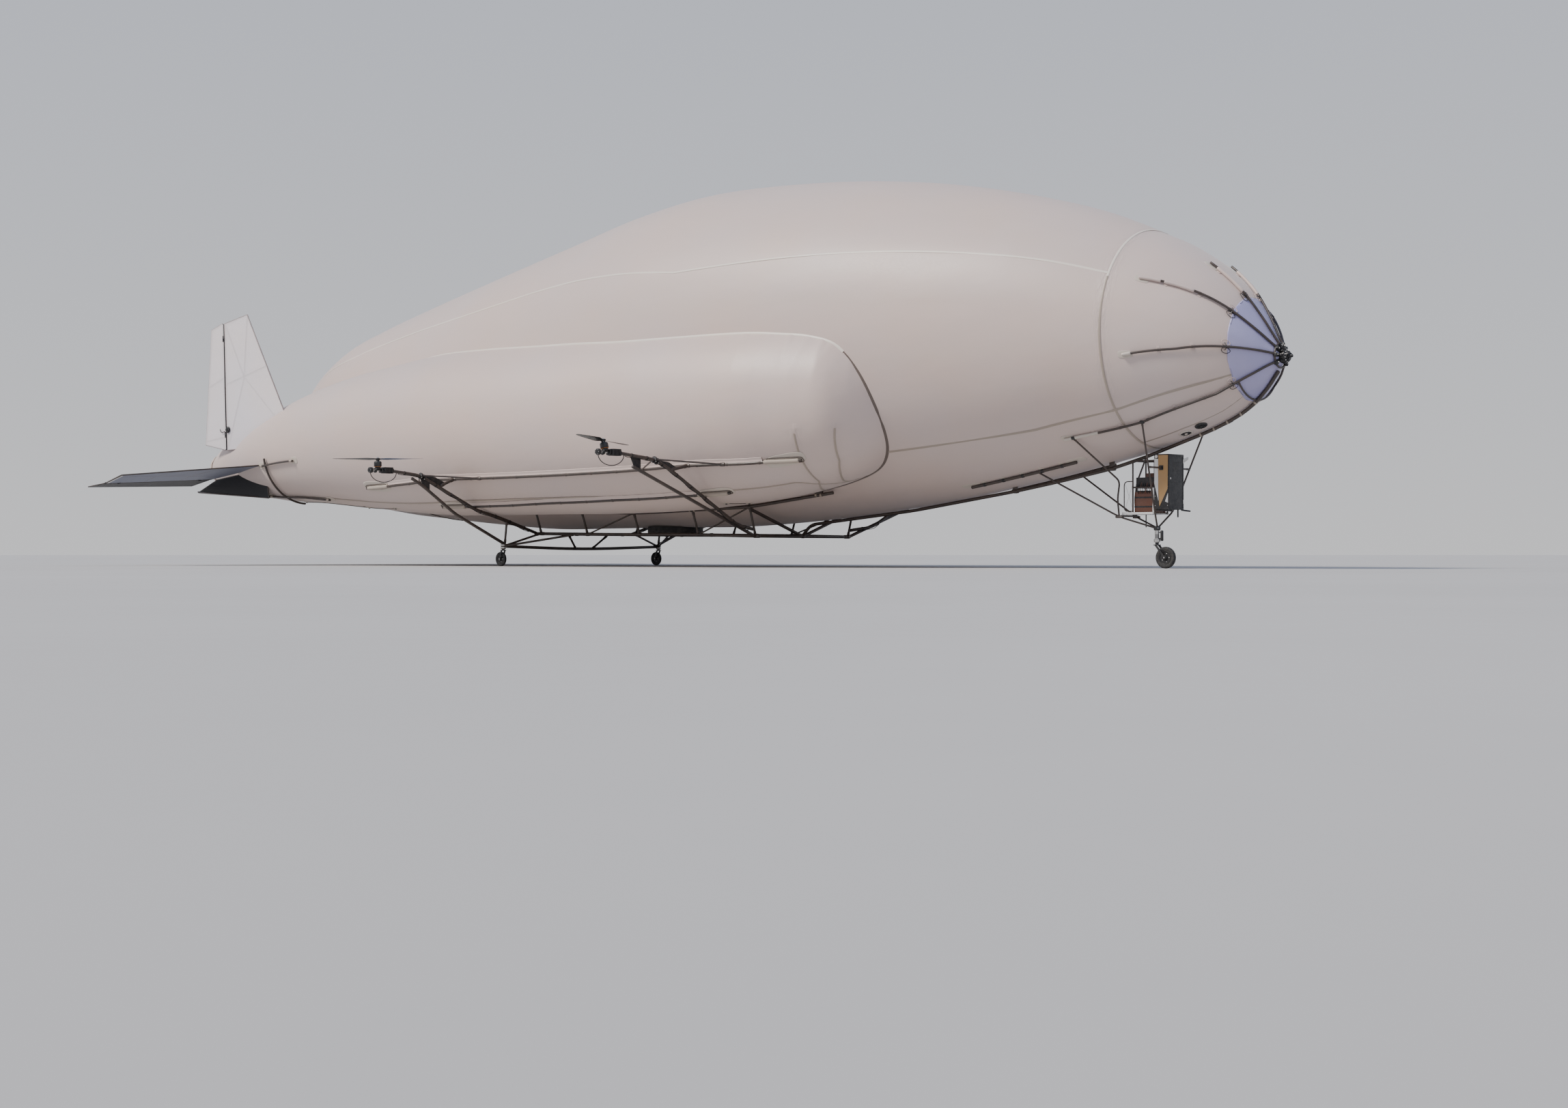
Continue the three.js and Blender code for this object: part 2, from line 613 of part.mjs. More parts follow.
// The boxes on the nose gear stand level, with their heights taken at the leg.
function levelBox(front, back, half, floor, top) {
  const centre = ship((front + back) / 2, 0, 0).setZ(ship(LEG_AFT, 0, (floor + top) / 2).z);
  return block(centre, [back - front, 2 * half, top - floor]);
}

function cabinet() {
  const { front, back, half, floor, top, panel } = CABINET;
  const shell = levelBox(front, back, half, floor, top);
  const inside = levelBox(front + panel, back + 0.1, half - panel, floor + panel, top - panel);
  const shelf = levelBox(front, back - 0.01, half - 0.001, (floor + top) / 2, (floor + top) / 2 + panel);
  return cut(shell, inside).add(shelf);
}

function rack() {
  const { front, back, tray, half, floor, top, sheet, tube } = RACK;
  const parts = [levelBox(front, tray, half, floor, floor + sheet)];
  for (const aft of [front + tube / 2, back - tube / 2]) {
    for (const side of [-1, 1]) {
      const port = side * (half - tube / 2);
      parts.push(rod(ship(aft, port, floor), ship(aft, port, top), tube, 4));
    }
    for (const up of [(floor + top) / 2, top - tube / 2]) {
      parts.push(rod(ship(aft, -half, up), ship(aft, half, up), tube, 4));
    }
  }
  for (const side of [-1, 1]) {
    const port = side * (half - tube / 2);
    parts.push(rod(ship(front, port, top - tube / 2), ship(back, port, top - tube / 2), tube, 4));
  }
  const middle = (floor + top) / 2;
  parts.push(levelBox(front, back, half, middle - sheet / 2, middle + sheet / 2));
  return join(parts);
}

// The cells stand on the tray, between the rack's posts.
const BATTERY_HEIGHT = 0.36;

function batteryPack() {
  const { front, back, half, floor, sheet, tube } = RACK;
  const room = tube + 0.006;
  return levelBox(front + room, back - room, half - room, floor + sheet + GAP, floor + BATTERY_HEIGHT);
}

function slab(front, back, half, floor, top, room) {
  return levelBox(front - room, back + room, half + room, floor - room, top + room);
}

const cabinetSeat = slab(CABINET.front, CABINET.back, CABINET.half, CABINET.floor, CABINET.top, GAP);
const traySeat = slab(RACK.front, RACK.tray, RACK.half, RACK.floor, RACK.floor + RACK.sheet, GAP);

function noseGearFrame() {
  return cut(noseGearTubes(), hullSeat, cabinetSeat, traySeat, battenTubes(2 * GAP));
}

function noseLeg() {
  const post = rod(ship(LEG_AFT, 0, LEG_COLLAR - GAP), ship(LEG_AFT, 0, LEG_FOOT), 0.07, 12);
  const collar = rod(ship(LEG_AFT, 0, LEG_FOOT + 0.05), ship(LEG_AFT, 0, LEG_FOOT), 0.10, 12);
  return join([post, collar]);
}

// Castors: a swivel head, two cheeks and a wheel.

const NOSE_WHEEL = { aft: 1.97, radius: 0.165, width: 0.07, swivelAft: LEG_AFT, swivelUp: LEG_FOOT, port: 0 };
const MAIN_WHEEL = { aft: 14.52, radius: 0.13, width: 0.05, swivelAft: 14.46, swivelUp: MAIN_LEG_FOOT, port: 2.02 };

const CHEEK = 0.008;
const CHEEK_ROOM = 0.014;
const CHEEK_HALF = 0.022;
const CROWN = { room: 0.02, length: 0.07, thickness: 0.014 };
const SWIVEL = 0.06;

function wheelCentre(castor, side) {
  return ship(castor.aft, side * castor.port, 0).setZ(castor.radius * M);
}

function fork(castor, side) {
  const head = ship(castor.swivelAft, side * castor.port, castor.swivelUp);
  const centre = wheelCentre(castor, side);
  const crown = centre.z + (castor.radius + CROWN.room) * M;
  const top = new THREE.Vector3(head.x, head.y, head.z - GAP * M);
  const base = new THREE.Vector3(head.x, head.y, crown);
  const middle = new THREE.Vector3(head.x, head.y, crown + CROWN.thickness * M / 2);
  const parts = [rod(top, base, SWIVEL, 12), block(middle, [CROWN.length, castor.width + 0.04, CROWN.thickness])];
  const [high, low, half] = [crown + 12, centre.z - 16, CHEEK_HALF * M];
  for (const cheek of [-1, 1]) {
    const y = head.y + cheek * (castor.width / 2 + CHEEK_ROOM) * M;
    const outline = [[head.x - half, high], [centre.x - half, low], [centre.x + half, low], [head.x + half, high]];
    parts.push(plate(outline.map(([x, z]) => new THREE.Vector3(x, y, z)), CHEEK));
  }
  return join(parts);
}

function wheel(castor, side) {
  const { radius, width } = castor;
  const hubHalf = width / 2 + CHEEK_ROOM - CHEEK / 2 - 0.0006;
  const outline = [
    [0, -hubHalf], [radius * 0.16, -hubHalf], [radius * 0.18, -width * 0.22], [radius * 0.55, -width * 0.22],
    [radius * 0.64, -width * 0.5], [radius * 0.88, -width * 0.5], [radius, -width * 0.2],
  ];
  const mirrored = outline.slice().reverse().map(([r, w]) => [r, -w]);
  const profile = outline.concat(mirrored).map(([r, w]) => new THREE.Vector2(Math.max(r, 1e-6) * M, w * M));
  profile[0].x = 0;
  profile[profile.length - 1].x = 0;
  const geometry = new THREE.LatheGeometry(profile, 14);
  geometry.applyMatrix4(new THREE.Matrix4().makeTranslation(...wheelCentre(castor, side).toArray()));
  return geometry;
}

// Motors and propellers

const MOTOR = { radius: 0.065, base: 0.035, top: 0.165 };
const PROP = { radius: 0.775, height: 0.19, hub: 0.035 };
const BLADE = [
  // share of the radius, chord in metres, pitch in degrees
  [0.04, 0.050, 24], [0.22, 0.095, 22], [0.55, 0.085, 13], [0.97, 0.045, 8],
];
const BLADE_ANGLES = { front_right: 104, front_left: 60, rear_right: 40, rear_left: -30 };

// A solid built upright at the origin, leaned forward by the rest tilt and set on its axle.
function seatOnAxle(solid, which, side) {
  const [, aft, up, tilt] = OUTRIGGERS[which];
  const lean = new THREE.Matrix4().makeRotationY(tilt * Math.PI / 180);
  const place = new THREE.Matrix4().makeTranslation(...ship(aft, side * MOTOR_PORT, up).toArray());
  const geometry = geometryOf(solid);
  geometry.applyMatrix4(lean);
  geometry.applyMatrix4(place);
  return geometry;
}

function upright(from, to, diameter, sides = 16) {
  return rod(new THREE.Vector3(0, 0, from * M), new THREE.Vector3(0, 0, to * M), diameter, sides);
}

function motorPod(which, side) {
  const can = upright(MOTOR.base, MOTOR.top, MOTOR.radius * 2);
  const yoke = block(new THREE.Vector3(0, 0, 0), [0.11, 0.13, 0.09]);
  const bore = rod(new THREE.Vector3(0, -200, 0), new THREE.Vector3(0, 200, 0), AXLE_BORE, 12);
  return seatOnAxle(cut(join([can, yoke]), bore), which, side);
}

function blade(turn) {
  const rings = BLADE.map(([share, chord, pitch]) => {
    const angle = pitch * Math.PI / 180;
    const section = [[0.5, 0], [0.1, 0.10], [-0.5, 0.02], [-0.1, -0.07]];
    return section.map(([c, t]) => {
      const [across, thick] = [chord * c * M, chord * t * M];
      const y = across * Math.cos(angle) - thick * Math.sin(angle);
      const z = across * Math.sin(angle) + thick * Math.cos(angle);
      return new THREE.Vector3(share * PROP.radius * M, y, z);
    });
  });
  const solid = loft(rings.reverse());
  return solid.rotate([0, 0, turn]);
}

function propeller(which, side, name) {
  const hub = upright(MOTOR.top + GAP - PROP.height, PROP.hub / 2, 0.09, 10);
  const spinner = upright(PROP.hub / 2, PROP.hub / 2 + 0.02, 0.04, 8);
  const whole = join([hub, spinner, blade(0), blade(180)]).rotate([0, 0, BLADE_ANGLES[name]]);
  return seatOnAxle(whole.translate([0, 0, PROP.height * M]), which, side);
}

// Belly fittings

function blower() {
  const floor = BLOWER_UP - BLOWER_DEPTH + 0.06;
  const ring = rod(ship(BLOWER_AFT, 0, floor), ship(BLOWER_AFT, 0, BLOWER_UP + 0.2), BLOWER_RING * 2, 20);
  const bore = rod(ship(BLOWER_AFT, 0, floor - 0.1), ship(BLOWER_AFT, 0, floor + 0.06), BLOWER_HOLE * 2, 20);
  const spokes = [0, 60, 120].map((angle) => {
    const [c, s] = [Math.cos(angle * Math.PI / 180), Math.sin(angle * Math.PI / 180)];
    const reach = (BLOWER_HOLE + BLOWER_RING) / 2;
    const from = ship(BLOWER_AFT - reach * c, -reach * s, floor + 0.03);
    const to = ship(BLOWER_AFT + reach * c, reach * s, floor + 0.03);
    return rod(from, to, 0.03, 6);
  });
  const boss = rod(ship(BLOWER_AFT, 0, floor + 0.005), ship(BLOWER_AFT, 0, floor + 0.08), 0.22, 12);
  return cut(join([cut(ring, bore), ...spokes, boss]), hullSeat, keelSeat, crossFrameSeat);
}

function valve(aft, port, diameter) {
  const drum = rod(ship(aft, port, 0), ship(aft, port, 3), diameter, 16);
  return cut(drum.intersect(centreSkin), hullSeat, keelSeat);
}

// A flat oval collar laced to the belly on the port side.
const COLLAR = { aft: 6.65, port: 0.66, outer: 0.76, inner: 0.62, squash: 0.8 };

function bellyCollar() {
  const { aft, port, outer, inner, squash } = COLLAR;
  const [foot, head] = [ship(aft, port, 0), ship(aft, port, 3)];
  const drums = [outer, inner].map((diameter) => {
    const drum = rod(new THREE.Vector3(0, 0, foot.z), new THREE.Vector3(0, 0, head.z), diameter, 24);
    return drum.scale([1, squash, 1]).translate([foot.x, foot.y, 0]);
  });
  return cut(drums[0].intersect(centreSkin), drums[1], hullSeat);
}

// Tail

const FIN_PORT = 3.0;
const FIN_SKIN = 0.030;
// Each surface: the corners ahead of the hinge, the hinge line, and the corners behind it.
const UPRIGHT_TAIL = { // aft, up
  ahead: [[19.21, 2.60], [20.78, 5.21]], hinge: [[21.55, 5.10], [21.45, 2.60]], behind: [[22.14, 2.74], [21.95, 5.01]],
};
const FLAT_TAIL = { // aft, port, up
  ahead: [[20.05, 3.02, 2.24], [20.84, 5.76, 2.00]], hinge: [[21.47, 5.70, 1.885], [21.90, 3.04, 2.05]],
  behind: [[22.58, 3.04, 1.94], [21.99, 5.74, 1.835]],
};
const HINGE = { tube: 0.036, bore: 0.0378, ring: 0.062, width: 0.05, shares: [0.12, 0.88], lead: 0.034 };

function hingeSpan(line, share, width, diameter, sides = 12) {
  const along = new THREE.Vector3().subVectors(line[1], line[0]);
  const centre = line[0].clone().addScaledVector(along, share);
  const half = along.clone().setLength(width * M / 2);
  return rod(centre.clone().sub(half), centre.clone().add(half), diameter, sides);
}

// The fixed surface ends a little ahead of its hinge line and carries two rings round the hinge tube.
function fixedSurface(corners, line) {
  const lead = new THREE.Vector3().subVectors(corners[0], line[1]).setLength(HINGE.lead * M);
  const panel = plate([...corners, line[0].clone().add(lead), line[1].clone().add(lead)], FIN_SKIN);
  const arms = HINGE.shares.map((share) => {
    const centre = line[0].clone().lerp(line[1], share);
    return rod(centre, centre.clone().addScaledVector(lead, 2), 0.026, 8);
  });
  const rings = HINGE.shares.map((share) => hingeSpan(line, share, HINGE.width, HINGE.ring));
  return cut(join([panel, ...arms, ...rings]), hingeSpan(line, 0.5, 4, HINGE.bore), hullSeat);
}

function movingSurface(corners, line) {
  const rooms = HINGE.shares.map((share) => hingeSpan(line, share, HINGE.width + 0.012, HINGE.ring + 0.014));
  return join([cut(plate([line[0], line[1], ...corners], FIN_SKIN), ...rooms), rod(line[0], line[1], HINGE.tube, 12)]);
}

function uprightPoints(rows, side) {
  return rows.map(([aft, up]) => ship(aft, side * FIN_PORT, up));
}

function flatPoints(rows, side) {
  return rows.map(([aft, port, up]) => ship(aft, side * port, up));
}

// The centre tailplane is a broad apron under the hull's tail, with an upright end plate on each side.
const APRON = { half: 2.98, thickness: 0.03, rows: [[20.45, 1.62], [21.40, 1.70], [22.46, 1.80]] }; // aft, up
const END_PLATE = { port: 2.97, thickness: 0.024, corners: [[20.22, 2.16], [20.12, 1.60], [22.44, 1.80], [21.80, 2.03]] };

function centreTailplane() {
  const { half, thickness, rows } = APRON;
  const rings = rows.map(([aft, up]) => [
    ship(aft, half, up), ship(aft, half, up + thickness), ship(aft, -half, up + thickness), ship(aft, -half, up),
  ]);
  const ends = SIDES.map(([, side]) => {
    return plate(END_PLATE.corners.map(([aft, up]) => ship(aft, side * END_PLATE.port, up)), END_PLATE.thickness);
  });
  return cut(join([loft(rings), ...ends]), hullSeat);
}

// A hoop tube crosses each side lobe at its tail, and two short tubes run along it: aft, degrees below.
const HOOP_AFT = 19.8;
const HOOP_BELOW = [10, 30, 50, 70, 88];
const TAIL_TUBES = [[[18.79, 17], [20.01, 17]], [[18.43, 64], [20.36, 62]]];

function tailHoop(side) {
  const proud = STRUT / 2 + 0.012;
  const hoop = pipe(HOOP_BELOW.map((below) => onSide(side, HOOP_AFT, below, proud)), STRUT, 5);
  const tubes = TAIL_TUBES.map((table) => pipe(laidRoute(SIDE_LOBE, side, table, proud), STRUT, 5));
  const ends = TAIL_TUBES.flat().map(([aft, below]) => sidePatch(side, aft, below, 0.12));
  return cut(join([hoop, ...tubes, ...ends]), hullSeat);
}

// Assembly

const COLOURS = {
  fabric: [0xd9d2c8, 0.55, 0.0],
  cap: [0xcdd0e0, 0.45, 0.0],
  tube: [0x2b2422, 0.45, 0.3],
  black: [0x0d0d0f, 0.5, 0.2],
  rubber: [0x121212, 0.85, 0.0],
  finSkin: [0xe4e3e8, 0.6, 0.0],
  blueSkin: [0x2c3550, 0.5, 0.0],
  darkSkin: [0x101114, 0.7, 0.0],
  battery: [0x3a1c10, 0.6, 0.0],
  steel: [0x9a9a9c, 0.35, 0.9],
};

const airship = new THREE.Group();

function add(name, shape, finish) {
  const [color, roughness, metalness] = COLOURS[finish];
  const geometry = shape.isBufferGeometry ? shape : geometryOf(shape);
  const mesh = new THREE.Mesh(geometry, new THREE.MeshStandardMaterial({ color, roughness, metalness }));
  mesh.name = name;
  airship.add(mesh);
}

add('envelope', envelope(), 'fabric');
add('nose_cap', noseCap(), 'cap');
add('nose_hub', noseHub(), 'black');
add('nose_battens', noseBattens(), 'tube');
add('keel_tube', keel(), 'tube');
add('cross_frame', crossFrame, 'tube');
add('landing_frame', landingFrame, 'tube');
add('nose_gear_frame', noseGearFrame(), 'tube');
add('nose_leg', noseLeg(), 'steel');
add('equipment_cabinet', cabinet(), 'black');
add('equipment_rack', rack(), 'tube');
add('battery_pack', batteryPack(), 'battery');
add('belly_blower', blower(), 'black');
add('belly_collar', bellyCollar(), 'cap');
add('front_valve', valve(1.22, -0.26, 0.20), 'black');
add('rear_valve', valve(1.49, -0.23, 0.22), 'cap');
add('bow_vent', valve(1.08, 0.30, 0.16), 'black');
add('centre_tailplane', centreTailplane(), 'darkSkin');
add('nose_fork', fork(NOSE_WHEEL, 1), 'black');
add('nose_wheel', wheel(NOSE_WHEEL, 1), 'rubber');

for (const [hand, side] of SIDES) {
  const flat = (rows) => flatPoints(rows, side);
  const tall = (rows) => uprightPoints(rows, side);
  add(`side_lobe_${hand}`, sideLobe(side), 'fabric');
  add(`girder_${hand}`, girder(side), 'tube');
  add(`upper_rail_${hand}`, rail(side, UPPER_RAIL), 'tube');
  add(`lower_rail_${hand}`, rail(side, LOWER_RAIL), 'tube');
  add(`tail_hoop_${hand}`, tailHoop(side), 'tube');
  add(`stabilizer_${hand}`, fixedSurface(flat(FLAT_TAIL.ahead), flat(FLAT_TAIL.hinge)), 'blueSkin');
  add(`fin_${hand}`, fixedSurface(tall(UPRIGHT_TAIL.ahead), tall(UPRIGHT_TAIL.hinge)), 'finSkin');
  add(`elevator_${hand}`, movingSurface(flat(FLAT_TAIL.behind), flat(FLAT_TAIL.hinge)), 'darkSkin');
  add(`rudder_${hand}`, movingSurface(tall(UPRIGHT_TAIL.behind), tall(UPRIGHT_TAIL.hinge)), 'finSkin');
  add(`main_fork_${hand}`, fork(MAIN_WHEEL, side), 'black');
  add(`main_wheel_${hand}`, wheel(MAIN_WHEEL, side), 'rubber');
  OUTRIGGERS.forEach(([end], which) => {
    add(`outrigger_${end}_${hand}`, outrigger(which, side), 'tube');
    add(`motor_${end}_${hand}`, motorPod(which, side), 'black');
    add(`propeller_${end}_${hand}`, propeller(which, side, `${end}_${hand}`), 'black');
  });
}

export default airship;
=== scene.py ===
import bisect
import math

import bmesh
import bpy
from mathutils import Matrix, Vector, noise


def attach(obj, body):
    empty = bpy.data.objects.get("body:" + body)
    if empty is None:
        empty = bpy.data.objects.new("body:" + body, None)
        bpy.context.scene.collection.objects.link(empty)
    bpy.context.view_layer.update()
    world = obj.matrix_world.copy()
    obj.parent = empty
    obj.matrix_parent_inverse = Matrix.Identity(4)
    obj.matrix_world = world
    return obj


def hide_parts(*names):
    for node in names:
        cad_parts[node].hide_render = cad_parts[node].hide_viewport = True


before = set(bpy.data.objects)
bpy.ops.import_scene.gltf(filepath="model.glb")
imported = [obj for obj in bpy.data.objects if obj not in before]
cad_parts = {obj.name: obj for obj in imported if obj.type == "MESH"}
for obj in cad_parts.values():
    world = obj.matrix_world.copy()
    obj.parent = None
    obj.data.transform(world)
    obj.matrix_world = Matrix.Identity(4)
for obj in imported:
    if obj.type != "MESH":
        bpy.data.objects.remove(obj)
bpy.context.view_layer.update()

# Drawing of the ship, in metres: aft of the nose tip, port of the centre plane, up from its datum

NOSE_X = 11.235
PARKED_SLOPE = 0.0244
MAIN_AXLE_AFT = 14.46
FLOOR_UP = 0.155
SIDES = (("right", -1), ("left", 1))
TUBE, STRUT, STAY, RAIL = 0.056, 0.040, 0.028, 0.050
CAP_SKIN = 0.008
FORWARD, PORTWARD, UP, DOWN = Vector((1, 0, 0)), Vector((0, 1, 0)), Vector((0, 0, 1)), Vector((0, 0, -1))

# the lobes' stations: aft, then port and up of the middle, and radius
CENTRE_ROWS = [
    (0.00, 0, 2.88, 0.03), (0.15, 0, 2.92, 0.25), (0.30, 0, 2.96, 0.49), (0.60, 0, 3.05, 0.85),
    (1.00, 0, 3.15, 1.15), (1.50, 0, 3.24, 1.41), (2.10, 0, 3.31, 1.65), (3.00, 0, 3.42, 1.94),
    (4.20, 0, 3.51, 2.24), (5.60, 0, 3.58, 2.51), (7.00, 0, 3.63, 2.71), (8.70, 0, 3.66, 2.86),
    (10.50, 0, 3.67, 2.92), (12.00, 0, 3.62, 2.83), (13.50, 0, 3.50, 2.68), (15.00, 0, 3.38, 2.53),
    (16.50, 0, 3.31, 2.33), (18.00, 0, 3.25, 2.11), (19.20, 0, 3.20, 1.92), (20.40, 0, 3.16, 1.65),
    (21.40, 0, 3.13, 1.20), (22.10, 0, 3.11, 0.62), (22.40, 0, 3.10, 0.15), (22.44, 0, 3.10, 0.01),
]
SIDE_ROWS = [
    (5.20, 1.15, 2.64, 0.03), (5.40, 1.28, 2.64, 0.32), (5.60, 1.41, 2.64, 0.58), (5.90, 1.63, 2.63, 0.90),
    (6.25, 1.79, 2.61, 1.13), (6.70, 1.79, 2.62, 1.29), (7.30, 1.78, 2.62, 1.41), (8.00, 1.85, 2.59, 1.48),
    (9.70, 1.87, 2.58, 1.58), (11.30, 1.91, 2.58, 1.59), (12.90, 2.04, 2.56, 1.53), (14.40, 2.06, 2.58, 1.51),
    (15.80, 2.07, 2.60, 1.48), (17.00, 2.17, 2.60, 1.37), (18.10, 2.26, 2.60, 1.24), (19.20, 2.30, 2.56, 1.08),
    (20.20, 2.32, 2.47, 0.92), (21.20, 2.33, 2.40, 0.70), (22.10, 2.33, 2.33, 0.46), (22.60, 2.33, 2.29, 0.20),
    (22.63, 2.33, 2.29, 0.01),
]


def ship(aft, port, up):
    return Vector((NOSE_X - aft, port, up + PARKED_SLOPE * (MAIN_AXLE_AFT - aft) - FLOOR_UP))


def route(rows, side=1):
    return [ship(aft, side * port, up) for aft, port, up in rows]


def lerp_rows(a, b, t):
    return tuple(p + (q - p) * t for p, q in zip(a, b))


def between(rows, column, value):
    """The row where a column has a value, from the rows on either side of it."""
    i = min(max(bisect.bisect_left([row[column] for row in rows], value), 1), len(rows) - 1)
    a, b = rows[i - 1], rows[i]
    return lerp_rows(a, b, (value - a[column]) / (b[column] - a[column]))


def table_at(table, aft):
    return between(table, 0, aft)[1]


def evenly(first, last, count):
    """Even steps from the first value to the last."""
    return [first + (last - first) * k / count for k in range(count + 1)]


def halfway_round(below):
    """Degrees below the middle, brought to the range from -180 to 180."""
    return (below + 180) % 360 - 180


def around(count, axis="Z", shift=0.0, start=0.0):
    """Even turns about an axis, each with the direction that it points in."""
    for k in range(count):
        t = 2 * math.pi * (k + shift) / count + start
        c, s = math.cos(t), math.sin(t)
        yield t, Vector({"X": (0, c, s), "Y": (c, 0, s), "Z": (c, s, 0)}[axis])


def circle(centre, across, other, radius, sides, squash=1.0):
    return [centre + across * (math.cos(t) * radius) + other * (math.sin(t) * radius * squash) for t,
            _ in around(sides)]


def crosswise(axis):
    """Two directions across an axis."""
    across = axis.cross(UP if abs(axis.z) < 0.9 else FORWARD).normalized()
    return across, axis.cross(across)


def squarish(t, power):
    """A point of a circle drawn out towards a square with rounded corners."""
    return [math.copysign(abs(c) ** power, c) for c in (math.cos(t), math.sin(t))]


def stud(radius, height, top, tip):
    """The profile of a bolt head or a button with a bevelled edge."""
    return [(0, radius), (height, radius), (top, tip)]


def smooth_rows(rows, step=0.04):
    """The stations joined by a smooth curve in all four values at once."""
    ends = [lerp_rows(rows[1], rows[0], 2)] + list(rows) + [lerp_rows(rows[-2], rows[-1], 2)]
    out = []
    for i in range(1, len(ends) - 2):
        p0, p1, p2, p3 = ends[i - 1:i + 3]
        gap = [max(math.dist(a, b), 1e-6) ** 0.5 for a, b in ((p0, p1), (p1, p2), (p2, p3))]
        t0, t1, t2, t3 = 0.0, gap[0], gap[0] + gap[1], sum(gap)
        count = max(2, math.ceil(math.dist(p1, p2) / step))
        for k in range(count):
            t = t1 + (t2 - t1) * k / count
            a1 = lerp_rows(p0, p1, (t - t0) / (t1 - t0))
            a2 = lerp_rows(p1, p2, (t - t1) / (t2 - t1))
            a3 = lerp_rows(p2, p3, (t - t2) / (t3 - t2))
            b1 = lerp_rows(a1, a2, (t - t0) / (t2 - t0))
            b2 = lerp_rows(a2, a3, (t - t1) / (t3 - t1))
            out.append(lerp_rows(b1, b2, (t - t1) / (t2 - t1)))
    out.append(rows[-1])
    return out


class Lobe:
    """A hull lobe: round sections on a smooth run of stations."""

    def __init__(self, rows):
        self.rows = smooth_rows(rows)
        self.afts = [row[0] for row in self.rows]

    def at(self, aft):
        i = min(max(bisect.bisect_left(self.afts, aft), 1), len(self.rows) - 1)
        a, b = self.rows[i - 1], self.rows[i]
        return lerp_rows(a, b, (aft - a[0]) / max(b[0] - a[0], 1e-9))

    def skin(self, side, aft, below, proud=0.0):
        """A point so many degrees below the lobe's middle, and how far it stands off the skin."""
        angle = math.radians(below)
        _, port, up, radius = self.at(aft)
        point = ship(aft, side * (port + radius * math.cos(angle)), up - radius * math.sin(angle))
        return point + self.normal(side, aft, below) * proud

    def along(self, side, table, aft, proud):
        """A point of a route, which is a table of station and degrees below the middle."""
        return self.skin(side, aft, table_at(table, aft), proud)

    def normal(self, side, aft, below):
        angle = math.radians(below)
        lo, hi = self.at(aft - 0.02), self.at(aft + 0.02)
        ring = Vector((0, side * math.cos(angle), -math.sin(angle)))
        run = ship(hi[0], side * hi[1], hi[2]) - ship(lo[0], side * lo[1], lo[2]) + ring * (hi[3] - lo[3])
        if run.length < 1e-6:
            return ring
        run.normalize()
        return (ring - run * ring.dot(run)).normalized()


CENTRE, SIDE = Lobe(CENTRE_ROWS), Lobe(SIDE_ROWS)


def laid(lobe, side, table, proud, start=None, end=None, step=0.12):
    """The points of a route on a lobe, or of a stretch of it."""
    start = table[0][0] if start is None else start
    end = table[-1][0] if end is None else end
    afts = evenly(start, end, max(2, math.ceil((end - start) / step)))
    return [lobe.along(side, table, aft, proud) for aft in afts]


def on_route(lobe, side, table, aft, proud):
    """A point of a route on a lobe, and the way on from it."""
    at, on = (lobe.along(side, table, place, proud) for place in (aft, aft + 0.01))
    return at, (on - at).normalized()


# Mesh building


def sweep_frames(points):
    """Each point's direction and two axes across it that don't twist."""
    out, across = [], None
    for i, point in enumerate(points):
        into = point - points[max(i - 1, 0)]
        on = points[min(i + 1, len(points) - 1)] - point
        along = (into.normalized() + on.normalized()).normalized()
        if across is None:
            across, _ = crosswise(along)
        across = (across - along * across.dot(along)).normalized()
        out.append((along, across, along.cross(across)))
    return out


def rounded(points, radius=0.06, steps=5):
    """A run of straight stretches with its corners bent to a curve."""
    out = [points[0]]
    for a, b, c in zip(points, points[1:], points[2:]):
        reach = min(radius, (a - b).length * 0.45, (c - b).length * 0.45)
        start, stop = b + (a - b).normalized() * reach, b + (c - b).normalized() * reach
        for k in range(steps + 1):
            t = k / steps
            out.append(start * (1 - t) ** 2 + b * 2 * t * (1 - t) + stop * t * t)
    return out + [points[-1]]


